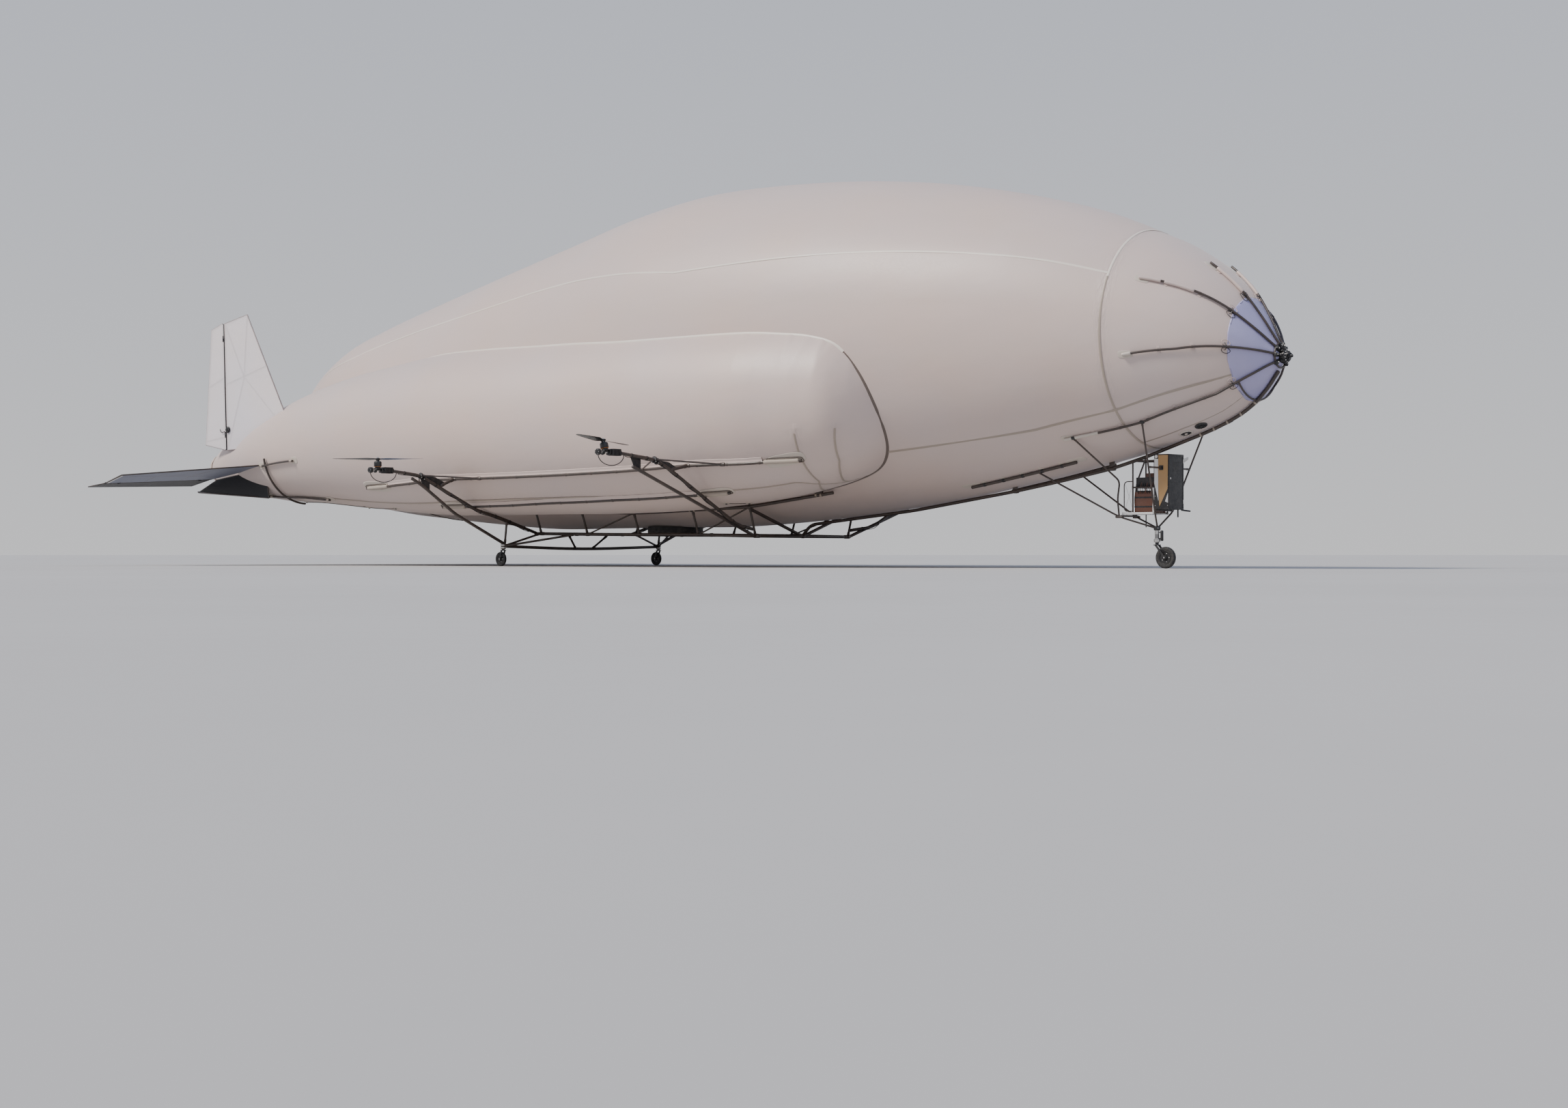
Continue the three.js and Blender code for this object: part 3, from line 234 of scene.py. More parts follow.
class Build:
    """Collects meshes for one piece."""

    def __init__(self):
        self.verts, self.faces, self.slots = [], [], []
        self.fields = {}

    def add(self, verts, faces, slot=0):
        base = len(self.verts)
        self.verts.extend(Vector(v) for v in verts)
        self.faces.extend(tuple(base + i for i in face) for face in faces)
        self.slots.extend(slot for _ in faces)

    def rings(self, rings, slot=0, closed=True, caps=(True, True)):
        """A skin over rings of points, with a flat cap at either end."""
        sides = len(rings[0])
        verts = [p for ring in rings for p in ring]
        faces = []
        for i in range(len(rings) - 1):
            for j in range(sides if closed else sides - 1):
                a, b = i * sides + j, i * sides + (j + 1) % sides
                faces.append((a, b, b + sides, a + sides))
        if caps[0]:
            faces.append(tuple(range(sides))[::-1])
        if caps[1]:
            faces.append(tuple(range((len(rings) - 1) * sides, len(rings) * sides)))
        self.add(verts, faces, slot)

    def tube(self, points, diameter, slot=0, sides=12, ends="round", wobble=0.0, squash=1.0):
        """A round bar along points, with blunt round ends unless they are flat, and uneven by a share of its size."""
        radius = diameter / 2
        frames = sweep_frames(points)

        def dome(at, way):
            along, across, other = frames[at]
            steps = [math.radians(angle) for angle in (22, 50, 80)] if ends == "round" else []
            return [circle(points[at] + along * (way * radius * 0.5 * math.sin(a)), across, other,
                           radius * math.cos(a), sides, squash) for a in steps]

        rings = dome(0, -1)[::-1]
        for point, (_, across, other) in zip(points, frames):
            uneven = noise.noise(point * 9.0) * wobble if wobble else 0.0
            rings.append(circle(point, across, other, radius * (1 + uneven), sides, squash))
        self.rings(rings + dome(-1, 1), slot)

    def lathe(self, origin, axis, profile, slot=0, sides=24, caps=(True, True)):
        """Rings of (distance along the axis, radius)."""
        axis = axis.normalized()
        across, other = crosswise(axis)
        rings = [circle(origin + axis * distance, across, other, max(radius, 0.0002), sides) for distance,
                 radius in profile]
        self.rings(rings, slot, caps=caps)

    def band(self, point, axis, diameter, width, slot=0, sides=16, crown=0.15):
        """A short cuff round a tube."""
        r, w = diameter / 2, width / 2
        half = [(w * 0.4, r), (w * 0.8, r * 0.985), (w, r * (1 - crown))]
        self.lathe(point, axis, [(-x, y) for x, y in half[::-1]] + half, slot, sides)

    def bevelled(self, bm, slot, bevel, segments=2, matrix=None):
        if bevel > 0:
            edges = [e for e in bm.edges if e.calc_face_angle(0.0) > 0.5]
            bmesh.ops.bevel(bm, geom=edges, offset=bevel, segments=segments, profile=0.6, affect="EDGES",
                            clamp_overlap=True)
        if matrix is not None:
            bmesh.ops.transform(bm, matrix=matrix, verts=bm.verts)
        bm.verts.index_update()
        self.add([v.co.copy() for v in bm.verts], [tuple(v.index for v in f.verts) for f in bm.faces], slot)
        bm.free()

    def block(self, centre, size, slot=0, bevel=0.004, turn=None, segments=2):
        bm = bmesh.new()
        bmesh.ops.create_cube(bm, size=1.0, matrix=Matrix.Diagonal((size[0], size[1], size[2], 1.0)))
        place = Matrix.Translation(centre) @ (turn.to_4x4() if turn is not None else Matrix.Identity(4))
        self.bevelled(bm, slot, bevel, segments, place)

    def plate(self, outline, thickness, slot=0, bevel=0.002, shift=0.5):
        """A flat plate between outline points."""
        normal = (outline[1] - outline[0]).cross(outline[2] - outline[0]).normalized() * thickness
        bm = bmesh.new()
        low = [bm.verts.new(p - normal * shift) for p in outline]
        high = [bm.verts.new(p + normal * (1 - shift)) for p in outline]
        count = len(outline)
        bm.faces.new(low[::-1])
        bm.faces.new(high)
        for i in range(count):
            bm.faces.new((low[i], low[(i + 1) % count], high[(i + 1) % count], high[i]))
        bmesh.ops.recalc_face_normals(bm, faces=bm.faces)
        self.bevelled(bm, slot, bevel)

    def ribbon(self, points, normals, width, height, slot=0, bow=(0.0, 0.7, 1.0, 0.7, 0.0), taper=0):
        """A flat tape laid on a surface, with feathered edges, which may start narrow and widen over some points."""
        frames = sweep_frames(points)
        rings = []
        for i, (point, normal, (along, _, _)) in enumerate(zip(points, normals, frames)):
            across = along.cross(normal).normalized()
            wide = width * min(1.0, 0.25 + 0.75 * min(i, taper) / taper) if taper else width
            ring = []
            for k, rise in enumerate(bow):
                share = k / (len(bow) - 1) - 0.5
                ring.append(point + across * (share * wide) + normal * (height * rise - 0.003))
            ring.append(point + across * (0.3 * wide) - normal * 0.006)
            ring.append(point - across * (0.3 * wide) - normal * 0.006)
            rings.append(ring)
        self.rings(rings, slot)

    def make(self, name, body, materials, replaces=(), smooth_angle=38):
        """Turns what was collected into one visible piece that rides on a body."""
        mesh = bpy.data.meshes.new(name)
        mesh.from_pydata(self.verts, [], self.faces)
        mesh.validate()
        for material in materials:
            mesh.materials.append(material)
        for polygon, index in zip(mesh.polygons, self.slots):
            polygon.material_index = index
            polygon.use_smooth = True
        bm = bmesh.new()
        bm.from_mesh(mesh)
        bmesh.ops.recalc_face_normals(bm, faces=bm.faces)
        bm.to_mesh(mesh)
        bm.free()
        if smooth_angle:
            mesh.set_sharp_from_angle(angle=math.radians(smooth_angle))
        for key, values in self.fields.items():
            attribute = mesh.attributes.new(key, "FLOAT", "POINT")
            attribute.data.foreach_set("value", values)
        piece = bpy.data.objects.new(name, mesh)
        bpy.context.collection.objects.link(piece)
        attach(piece, body)
        if replaces:
            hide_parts(*replaces)


# Materials


class Nodes:
    """Short names for wiring one material."""

    def __init__(self, name):
        self.material = bpy.data.materials.new(name)
        self.material.use_nodes = True
        self.tree = self.material.node_tree
        self.shader = self.tree.nodes["Principled BSDF"]
        self.coords = self.tree.nodes.new("ShaderNodeTexCoord").outputs["Object"]

    def link(self, a, b):
        self.tree.links.new(a, b)

    def noise(self, scale, detail=4.0, rough=0.55, stretch=None):
        node = self.tree.nodes.new("ShaderNodeTexNoise")
        node.inputs["Scale"].default_value = scale
        node.inputs["Detail"].default_value = detail
        node.inputs["Roughness"].default_value = rough
        self.link(self.stretched(stretch), node.inputs["Vector"])
        return node.outputs["Fac"]

    def stretched(self, stretch):
        if stretch is None:
            return self.coords
        node = self.tree.nodes.new("ShaderNodeMapping")
        node.inputs["Scale"].default_value = stretch
        self.link(self.coords, node.inputs["Vector"])
        return node.outputs["Vector"]

    def wave(self, scale, axis="X", distortion=0.0):
        node = self.tree.nodes.new("ShaderNodeTexWave")
        node.bands_direction = axis
        node.inputs["Scale"].default_value = scale
        node.inputs["Distortion"].default_value = distortion
        self.link(self.coords, node.inputs["Vector"])
        return node.outputs["Fac"]

    def field(self, name):
        node = self.tree.nodes.new("ShaderNodeAttribute")
        node.attribute_name = name
        return node.outputs["Fac"]

    def math(self, kind, a, b):
        node = self.tree.nodes.new("ShaderNodeMath")
        node.operation = kind
        for socket, value in zip(node.inputs, (a, b)):
            if isinstance(value, (int, float)):
                socket.default_value = value
            else:
                self.link(value, socket)
        return node.outputs[0]

    def spread(self, value, low, high, out_low=0.0, out_high=1.0):
        node = self.tree.nodes.new("ShaderNodeMapRange")
        self.link(value, node.inputs["Value"])
        for key, number in (("From Min", low), ("From Max", high), ("To Min", out_low), ("To Max", out_high)):
            node.inputs[key].default_value = number
        return node.outputs["Result"]

    def mix(self, factor, a, b):
        node = self.tree.nodes.new("ShaderNodeMix")
        node.data_type = "RGBA"
        self.link(factor, node.inputs[0])
        for socket, value in ((node.inputs[6], a), (node.inputs[7], b)):
            if isinstance(value, tuple):
                socket.default_value = (*value, 1.0)
            else:
                self.link(value, socket)
        return node.outputs[2]

    def bump(self, height, strength, distance, before=None):
        node = self.tree.nodes.new("ShaderNodeBump")
        node.inputs["Strength"].default_value = strength
        node.inputs["Distance"].default_value = distance
        self.link(height, node.inputs["Height"])
        if before is not None:
            self.link(before, node.inputs["Normal"])
        return node.outputs["Normal"]

    def finish(self, colour, roughness, normal=None, **sockets):
        self.link(colour, self.shader.inputs["Base Color"])
        self.link(roughness, self.shader.inputs["Roughness"])
        if normal is not None:
            self.link(normal, self.shader.inputs["Normal"])
        for key, value in sockets.items():
            self.shader.inputs[key.replace("_", " ")].default_value = value
        return self.material


def tinted(base, share):
    return tuple(min(1.0, c * share) for c in base)


def fabric(name, base, rough=0.5, weave=420.0, streak=0.05, sheen=0.15, puckers_and_seam_shade=False, alpha=1.0, tint=None):
    n = Nodes(name)
    broad = n.spread(n.noise(0.55, 3.0, 0.5), 0.3, 0.7)
    streaks = n.spread(n.noise(2.2, 5.0, 0.6, stretch=(0.35, 1.0, 1.6)), 0.35, 0.75)
    warm = tint or tuple(c * k for c, k in zip(base, (1.03, 0.985, 0.93)))
    colour = n.mix(broad, base, warm)
    colour = n.mix(n.math("MULTIPLY", streaks, streak), colour, tinted(base, 0.55))
    threads = n.math("ADD", n.wave(weave, "X"), n.wave(weave, "Z"))
    fine = n.noise(60.0, 3.0, 0.6)
    normal = n.bump(threads, 0.10, 0.001)
    normal = n.bump(fine, 0.08, 0.002, normal)
    normal = n.bump(n.noise(1.3, 3.0, 0.5, stretch=(0.4, 1.0, 1.0)), 0.35, 0.03, normal)
    if puckers_and_seam_shade:
        close = n.field("seam")
        ripple = n.noise(11.0, 4.0, 0.6, stretch=(1.8, 0.5, 0.5))
        normal = n.bump(n.math("MULTIPLY", close, ripple), 0.75, 0.03, normal)
        # painted shade: the cloth is made darker towards the seams, where the puckers crease it
        colour = n.mix(n.math("MULTIPLY", close, 0.16), colour, tinted(base, 0.62))
    roughness = n.spread(fine, 0.2, 0.8, rough - 0.06, rough + 0.08)
    return n.finish(colour, roughness, normal, Sheen_Weight=sheen, Alpha=alpha)


def carbon(name, base, rough=0.38, ring=70.0, coat=0.2):
    n = Nodes(name)
    patches = n.spread(n.noise(5.0, 4.0, 0.6), 0.3, 0.75)
    colour = n.mix(patches, base, tuple(c * k for c, k in zip(base, (1.9, 1.7, 1.55))))
    wraps = n.wave(ring, "X", distortion=3.0)
    fine = n.noise(180.0, 3.0, 0.6)
    normal = n.bump(wraps, 0.12, 0.0008)
    normal = n.bump(fine, 0.15, 0.0006, normal)
    roughness = n.spread(n.noise(14.0, 4.0), 0.25, 0.75, rough - 0.08, rough + 0.16)
    return n.finish(colour, roughness, normal, Coat_Weight=coat, Coat_Roughness=0.25)


def metal(name, base, rough=0.35, metallic=1.0, brushed=(1.0, 1.0, 1.0), worn=None):
    n = Nodes(name)
    grain = n.noise(160.0, 4.0, 0.7, stretch=brushed)
    stains = n.spread(n.noise(9.0, 5.0, 0.65), 0.35, 0.7)
    colour = n.mix(stains, base, worn or tinted(base, 0.78))
    normal = n.bump(grain, 0.10, 0.0008)
    roughness = n.spread(grain, 0.2, 0.8, rough - 0.07, rough + 0.12)
    return n.finish(colour, roughness, normal, Metallic=metallic)


def painted(name, base, rough=0.5, speckle=0.12, coat=0.0):
    n = Nodes(name)
    dust = n.spread(n.noise(6.0, 5.0, 0.65), 0.4, 0.8)
    colour = n.mix(n.math("MULTIPLY", dust, speckle), base, (0.30, 0.27, 0.24))
    peel = n.noise(240.0, 2.0, 0.5)
    normal = n.bump(peel, 0.10, 0.0006)
    roughness = n.spread(n.noise(25.0, 4.0), 0.3, 0.7, rough - 0.06, rough + 0.12)
    return n.finish(colour, roughness, normal, Coat_Weight=coat)


def rubber(name):
    n = Nodes(name)
    dust = n.spread(n.noise(18.0, 5.0, 0.7), 0.45, 0.8)
    colour = n.mix(n.math("MULTIPLY", dust, 0.35), (0.018, 0.018, 0.019), (0.16, 0.14, 0.12))
    normal = n.bump(n.noise(220.0, 3.0, 0.6), 0.25, 0.0008)
    roughness = n.spread(n.noise(30.0, 4.0), 0.3, 0.7, 0.62, 0.86)
    return n.finish(colour, roughness, normal)


HULL = fabric("hull_fabric", (0.59, 0.485, 0.45), 0.44, puckers_and_seam_shade=True, sheen=0.2)
TAPE = fabric("seam_tape", (0.36, 0.30, 0.25), 0.42, weave=520.0, streak=0.12)
# painted highlight: a lit copy of the seam tape, for stretches that face the light
SUNLIT_TAPE = fabric("tape_painted_highlight", (0.74, 0.68, 0.61), 0.38, weave=520.0, streak=0.08)
# painted shade: a dark copy of the tape, for the front and foot of the crease between the lobes
SHADED_JOINT_TAPE = fabric("joint_tape_painted_shade", (0.13, 0.10, 0.085), 0.6, weave=420.0, streak=0.2)
PATCHES = fabric("glued_patch", (0.56, 0.50, 0.44), 0.5, weave=520.0, streak=0.2)
SLEEVES = fabric("rail_sleeve", (0.40, 0.34, 0.285), 0.55, weave=300.0, streak=0.3)
# lavender blue: partly the cap's own tint, partly painted sky light on the shaded nose
CAP = fabric("cap_fabric", (0.33, 0.32, 0.57), 0.34, weave=600.0, streak=0.10, tint=(0.44, 0.40, 0.57))
# near-black cloth; on the tail apron under the hull its darkness is painted shade
BLACK_CLOTH_AND_APRON_SHADE = fabric("tail_cloth_and_apron_shade", (0.014, 0.014, 0.017), 0.62, weave=260.0, streak=0.1, sheen=0.05)
# dark blue: painted shade on the stabilizers' undersides, with painted sky light showing through the cloth
BLUE_CLOTH_PAINTED_SHADE = fabric("stabilizer_cloth_painted_shade", (0.10, 0.118, 0.20), 0.5, weave=300.0, streak=0.12)
FIN_CLOTH = fabric("fin_cloth", (0.88, 0.83, 0.86), 0.5, weave=300.0, streak=0.05, alpha=0.70)
FIN_TUBE = carbon("fin_frame_tube", (0.20, 0.17, 0.17), 0.45)
DARK_TUBE = carbon("dark_tube_wrap", (0.036, 0.027, 0.023), 0.38)
BLADES = carbon("blade_carbon", (0.012, 0.012, 0.013), 0.25, ring=40.0, coat=0.6)
BLACK_METAL = metal("black_anodised", (0.028, 0.028, 0.031), 0.38, 0.6, worn=(0.06, 0.058, 0.056))
STEEL = metal("machined_steel", (0.62, 0.61, 0.59), 0.28, 1.0, brushed=(1.0, 1.0, 9.0))
COPPER = metal("winding_copper", (0.55, 0.24, 0.10), 0.42, 1.0)
PANEL = painted("cabinet_paint", (0.016, 0.016, 0.018), 0.48)
PLASTIC = painted("moulded_black", (0.020, 0.020, 0.021), 0.6, 0.2)
# painted sunlight: the golden colour of sun falling on the cabinet's starboard face
PAINTED_SUNLIGHT = painted("painted_sunlight", (0.46, 0.27, 0.11), 0.45, 0.15)
BATTERY = painted("shrink_wrap", (0.14, 0.045, 0.02), 0.35, 0.1, coat=0.3)
WHITE_STRIP = painted("white_cover", (0.78, 0.77, 0.75), 0.4, 0.08)
RUBBER = rubber("tyre_rubber_black")
ROPE = fabric("rope_fibre", (0.10, 0.09, 0.08), 0.8, weave=700.0, streak=0.3)
WIRE = painted("cable_jacket", (0.012, 0.012, 0.013), 0.42, 0.1)

# Hull


def seam_distance(lobe_name, aft, below):
    """How near a point is to a seam, from 0 away from it to 1 on it."""
    near = 0.0
    for kind, table in SEAMS[lobe_name]:
        lobe = CENTRE if lobe_name == "centre" else SIDE
        radius = lobe.at(aft)[3]
        if kind == "run":
            if table[0][0] - 0.1 < aft < table[-1][0] + 0.1:
                gap = math.radians(abs(halfway_round(below - table_at(table, aft)))) * radius
                near = max(near, 1 - gap / 0.30)
        elif kind == "arc":
            if table[0][0] - 4 < below < table[-1][0] + 4:
                near = max(near, 1 - abs(aft - table_at(table, below)) / 0.20)
        else:
            near = max(near, 1 - abs(aft - table) / 0.22)
    return max(0.0, near) ** 2


def crest(aft, below):
    """The soft ridge along the upper seam, where the top panel meets the flank."""
    if not CENTRE_HIGH[0][0] < aft < CENTRE_HIGH[-1][0]:
        return 0.0
    turned, line = halfway_round(below), table_at(CENTRE_HIGH, aft)
    gap = math.radians(min(abs(turned - line), abs(turned + 180 + line))) * CENTRE.at(aft)[3]
    ends = min(1.0, (aft - CENTRE_HIGH[0][0]) / 1.5, (CENTRE_HIGH[-1][0] - aft) / 2.0)
    return CREST * ends * max(0.0, 1 - gap / CREST_REACH)


def pinch(aft, below):
    """Gathers of the side lobe's cloth that run down from the crease on its top, strongest at the front cap."""
    found = crossing(aft)
    if found in (None, "inside") or aft > 21.0:
        return 0.0
    down = halfway_round(below) + math.degrees(found[0])
    if down < -6 or down > 60:
        return 0.0
    rise = 0.0
    for k, place in enumerate((6.02, 6.30, 6.47, 6.72, 7.05, 7.42, 7.9)):
        lean = place + 0.004 * down * (1 if k % 2 else -0.4)
        rise += (0.014 if k in (2, 4) else 0.009) * math.exp(-((aft - lean) / 0.055) ** 2)
    rise += 0.0035 * noise.noise(Vector((aft * 5.0, 3.0, 1.0)))
    return rise * math.exp(-max(0.0, down) / 22.0)


CENTRE_LOW = [(0.51, 33), (2.10, 43), (3.40, 47), (5.90, 46), (7.20, 40)]
CHIN_RUN = [(0.47, 67), (0.83, 72), (1.23, 73), (1.64, 74), (2.10, 74)]
CAP_FRONT = [(26, 6.79), (49, 6.87), (73, 6.94), (88, 7.18), (97, 7.30)]
CAP_SHORT = [(28, 6.17), (58, 6.33), (86, 6.68), (92, 6.70)]
CENTRE_HIGH = [(2.10, -32), (5.50, -29), (9.60, -24), (13.40, -32), (17.0, -36), (20.6, -38)]
SIDE_RUN = [(6.59, 99), (6.90, 82), (7.24, 67), (9.0, 60), (11.70, 56), (14.50, 57), (16.90, 62), (20.0, 66),
            (22.0, 66)]
SEAMS = {
    "centre": [("run", CENTRE_LOW), ("run", CENTRE_HIGH), ("ring", 2.10)],
    "side": [("run", SIDE_RUN), ("arc", CAP_FRONT), ("arc", CAP_SHORT)],
}
CREST = 0.035
CREST_REACH = 0.9


def crossing(aft):
    """The two directions, in radians above the side lobe's middle, where it meets the centre lobe, if it does."""
    _, _, c_up, c_r = CENTRE.at(aft)
    _, s_port, s_up, s_r = SIDE.at(aft)
    gap = math.hypot(s_port, s_up - c_up)
    if aft > 22.4 or gap >= s_r + c_r:
        return None
    if gap + s_r <= c_r:
        return "inside"
    towards = math.atan2(c_up - s_up, -s_port)
    half = math.acos(max(-1.0, min(1.0, (gap * gap + s_r * s_r - c_r * c_r) / (2 * gap * s_r))))
    return towards - half, towards + half


def hull_lobe(name, lobe, lobe_name, side, facets, replaced):
    b = Build()
    near, rings = [], []
    for aft, _, _, radius in lobe.rows:
        ring = []
        for k in range(facets):
            below = 360.0 * k / facets
            close = seam_distance(lobe_name, aft, below)
            swell = noise.noise(Vector((aft * 0.35, below * 0.02 * radius, side * 3.0))) * 0.006
            shift = swell - 0.006 * close - 0.004
            shift += crest(aft, below) if lobe_name == "centre" else pinch(aft, below)
            ring.append(lobe.skin(side, aft, below, shift))
            near.append(close)
        rings.append(ring)
    b.rings(rings)
    b.fields["seam"] = near
    b.make(name, "airframe", [HULL], replaced, smooth_angle=0)


hull_lobe("hull_centre", CENTRE, "centre", 1, 144, ["envelope"])
for hand, side in SIDES:
    hull_lobe(f"hull_side_{hand}", SIDE, "side", side, 96, [f"side_lobe_{hand}"])


def crossing_point(aft, side, which, proud):
    """A point on the crease between two lobes, and the way out from it."""
    below = -math.degrees(crossing(aft)[which])
    point = SIDE.skin(side, aft, below)
    from_centre = (point - ship(aft, 0, CENTRE.at(aft)[2])).normalized()
    normal = (SIDE.normal(side, aft, below) + from_centre).normalized()
    return point + normal * proud, normal


def lobe_joints():
    """A tape along each crease between the lobes."""
    first = next(a / 200 for a in range(1040, 1400) if crossing(a / 200) != "inside")
    last = next(a / 100 for a in range(1900, 2263) if crossing(a / 100) is None) - 0.005
    afts = [first + 0.9 * (k / 40) ** 2 for k in range(41)]
    afts += evenly(first + 0.9, last - 0.4, 130)[1:]
    afts += [last - 0.4 * (1 - k / 12) ** 2 for k in range(1, 13)]
    b = Build()
    for _, side in SIDES:
        upper, foot_rows = ([crossing_point(aft, side, which, 0.004) for aft in afts] for which in (0, 1))
        crest_rows, turn = upper[::-1], 26
        # the top run takes the lit copy of the tape, a painted highlight; the front and foot take the dark copy,
        # painted shade
        for loop, width, slot in ((crest_rows[:-turn], 0.06, 1), (crest_rows[-turn - 1:] + foot_rows, 0.07, 0)):
            spaced = [loop[0]]
            for item in loop[1:]:
                if (item[0] - spaced[-1][0]).length > 0.03:
                    spaced.append(item)
            b.ribbon(*zip(*spaced), width, 0.010, slot, taper=0 if slot else 14)
    b.make("lobe_joint_tape", "airframe", [SHADED_JOINT_TAPE, SUNLIT_TAPE])


def seam_tapes():
    b = Build()
    for _, side in SIDES:
        # the upper seam takes the lit copy of the tape, a painted highlight
        for lobe, table, width, slot in ((CENTRE, CENTRE_LOW, 0.040, 0), (CENTRE, CENTRE_HIGH, 0.034, 1),
                                         (SIDE, SIDE_RUN, 0.036, 0), (CENTRE, CHIN_RUN, 0.026, 0)):
            points = laid(lobe, side, table, 0.0)
            afts = evenly(table[0][0], table[-1][0], len(points) - 1)
            normals = [lobe.normal(side, aft, table_at(table, aft)) for aft in afts]
            if table is CENTRE_HIGH:
                lifts = [crest(aft, table_at(table, aft)) for aft in afts]
                points = [point + normal * lift for point, normal, lift in zip(points, normals, lifts)]
            b.ribbon(points, normals, width, 0.0035, slot)
        for table in (CAP_FRONT, CAP_SHORT):
            belows = evenly(table[0][0], table[-1][0], 40)
            points = [SIDE.skin(side, table_at(table, below), below) for below in belows]
            normals = [SIDE.normal(side, table_at(table, below), below) for below in belows]
            b.ribbon(points, normals, 0.030, 0.0035)
    # painted light: the ring seam's upper arc takes the lit copy of the tape and its lower arc the darker tape, so it
    # is lighter above and darker below
    for first, last, slot in ((-150, -30, 1), (-30, 210, 0)):
        belows = range(first, last + 1, 4)
        ring = [CENTRE.skin(1, 2.10, below) for below in belows]
        b.ribbon(ring, [CENTRE.normal(1, 2.10, below) for below in belows], 0.034, 0.004, slot)
    b.make("hull_seam_tape", "airframe", [TAPE, SUNLIT_TAPE])


def tail_caps():
    """A sewn end cap on the tail of each lobe, with its seam tape and a lacing ring."""
    b = Build()
    for lobe, side, start, tip in ((CENTRE, 1, 22.24, 22.462), (SIDE, -1, 22.48, 22.652), (SIDE, 1, 22.48, 22.652)):
        _, port, up, radius = lobe.at(start)
        _, end_port, end_up, _ = lobe.at(tip)
        rings = []
        for k in range(17):
            t = math.sin(math.pi / 2 * k / 16)
            reach = max(0.004, (radius + 0.007) * (1 - t ** 3) ** 0.4545)
            middle = ship(start + (tip - start) * t, side * (port + (end_port - port) * t), up + (end_up - up) * t)
            ripple = 0.003 * (1 - t)
            rings.append([middle + out * (reach + ripple * math.sin(14 * a)) for a, out in around(72, "X")])
        b.rings(rings, 0, caps=(False, True))
        middle = rings[0][0].lerp(rings[0][36], 0.5)
        belt = [point + (point - middle).normalized() * 0.001 for point in rings[0] + rings[0][:1]]
        b.tube(belt, 0.016, 1, 8, ends="flat")
        b.lathe(ship(tip - 0.006, side * end_port, end_up), -FORWARD,
                [(0, 0.045), (0.006, 0.045), (0.010, 0.036), (0.010, 0.020), (0.006, 0.016), (0.006, 0.0)], 1, 32)
    b.make("hull_tail_caps", "airframe", [HULL, TAPE], smooth_angle=60)


lobe_joints()
seam_tapes()
tail_caps()

# Nose

HUB_UP = 2.885
CAP_EDGE_AFT = 0.52
BATTEN = 0.036
LACING_AFT = 0.53
SLEEVE_PITCH = 0.42
BATTEN_PROUD = CAP_SKIN + BATTEN / 2 + 0.005
BATTENS = [
    [(0.09, -75), (1.05, -75)],
    [(0.09, -42), (0.74, -39), (1.67, -33)],
    [(0.09, -6), (0.53, 1), (1.11, 8), (1.80, 12)],
    [(0.09, 34), (0.29, 38), (0.74, 47), (1.25, 50), (1.82, 54), (3.03, 55)],
]


def hub_axis(aft):
    point = ship(aft, 0, 0)
    point.z = ship(0, 0, HUB_UP).z
    return point


def lashing(b, point, axis, diameter, slot, turns=3, pitch=0.009):
    """A few turns of cord round a tube."""
    for k in range(turns):
        b.band(point + axis * ((k - (turns - 1) / 2) * pitch), axis, diameter + 0.008, pitch * 0.95, slot, 12, 0.25)


def skin_patch(b, lobe, side, aft, below, along, across, slot, height=0.004):
    """A glued patch with rounded corners that follows the skin."""
    radius = lobe.at(aft)[3]
    rings = []
    for reach, rise in ((0.12, 1.0), (0.55, 1.0), (0.88, 0.9), (0.97, 0.5), (1.0, -0.8)):
        ring = []
        for t, _ in around(28):
            c, s = squarish(t, 0.6)
            x, y = c * reach * along / 2, s * reach * across / 2
            ring.append(lobe.skin(side, aft + x, below + math.degrees(y / radius), height * rise))
        rings.append(ring)
    b.rings(rings, slot, caps=(True, False))


def nose_cap():
    b = Build()
    rings = []
    for k in range(46):
        aft = 0.012 + (CAP_EDGE_AFT - 0.012) * (k / 45) ** 1.2
        ring = []
        for j in range(120):
            below = 3.0 * j
            fold = math.sin(math.radians(below * 17)) * 0.5 + noise.noise(Vector((aft * 6, below * 0.09, 2))) * 1.2
            edge = max(0.0, (aft - 0.30) / 0.22)
            scallop = 0.02 * (0.5 + 0.5 * math.cos(math.radians(below * 12))) if k == 45 else 0.0
            ring.append(CENTRE.skin(1, aft - scallop, below, CAP_SKIN - 0.001 + 0.004 * fold * (0.3 + 0.7 * edge)))
        rings.append(ring)
    rings.append([CENTRE.skin(1, 0.515, 3.0 * j, -0.006) for j in range(120)])
    b.rings(rings, 0, caps=(True, False))
    b.make("nose_cap_skin", "airframe", [CAP], ["nose_cap"], smooth_angle=0)


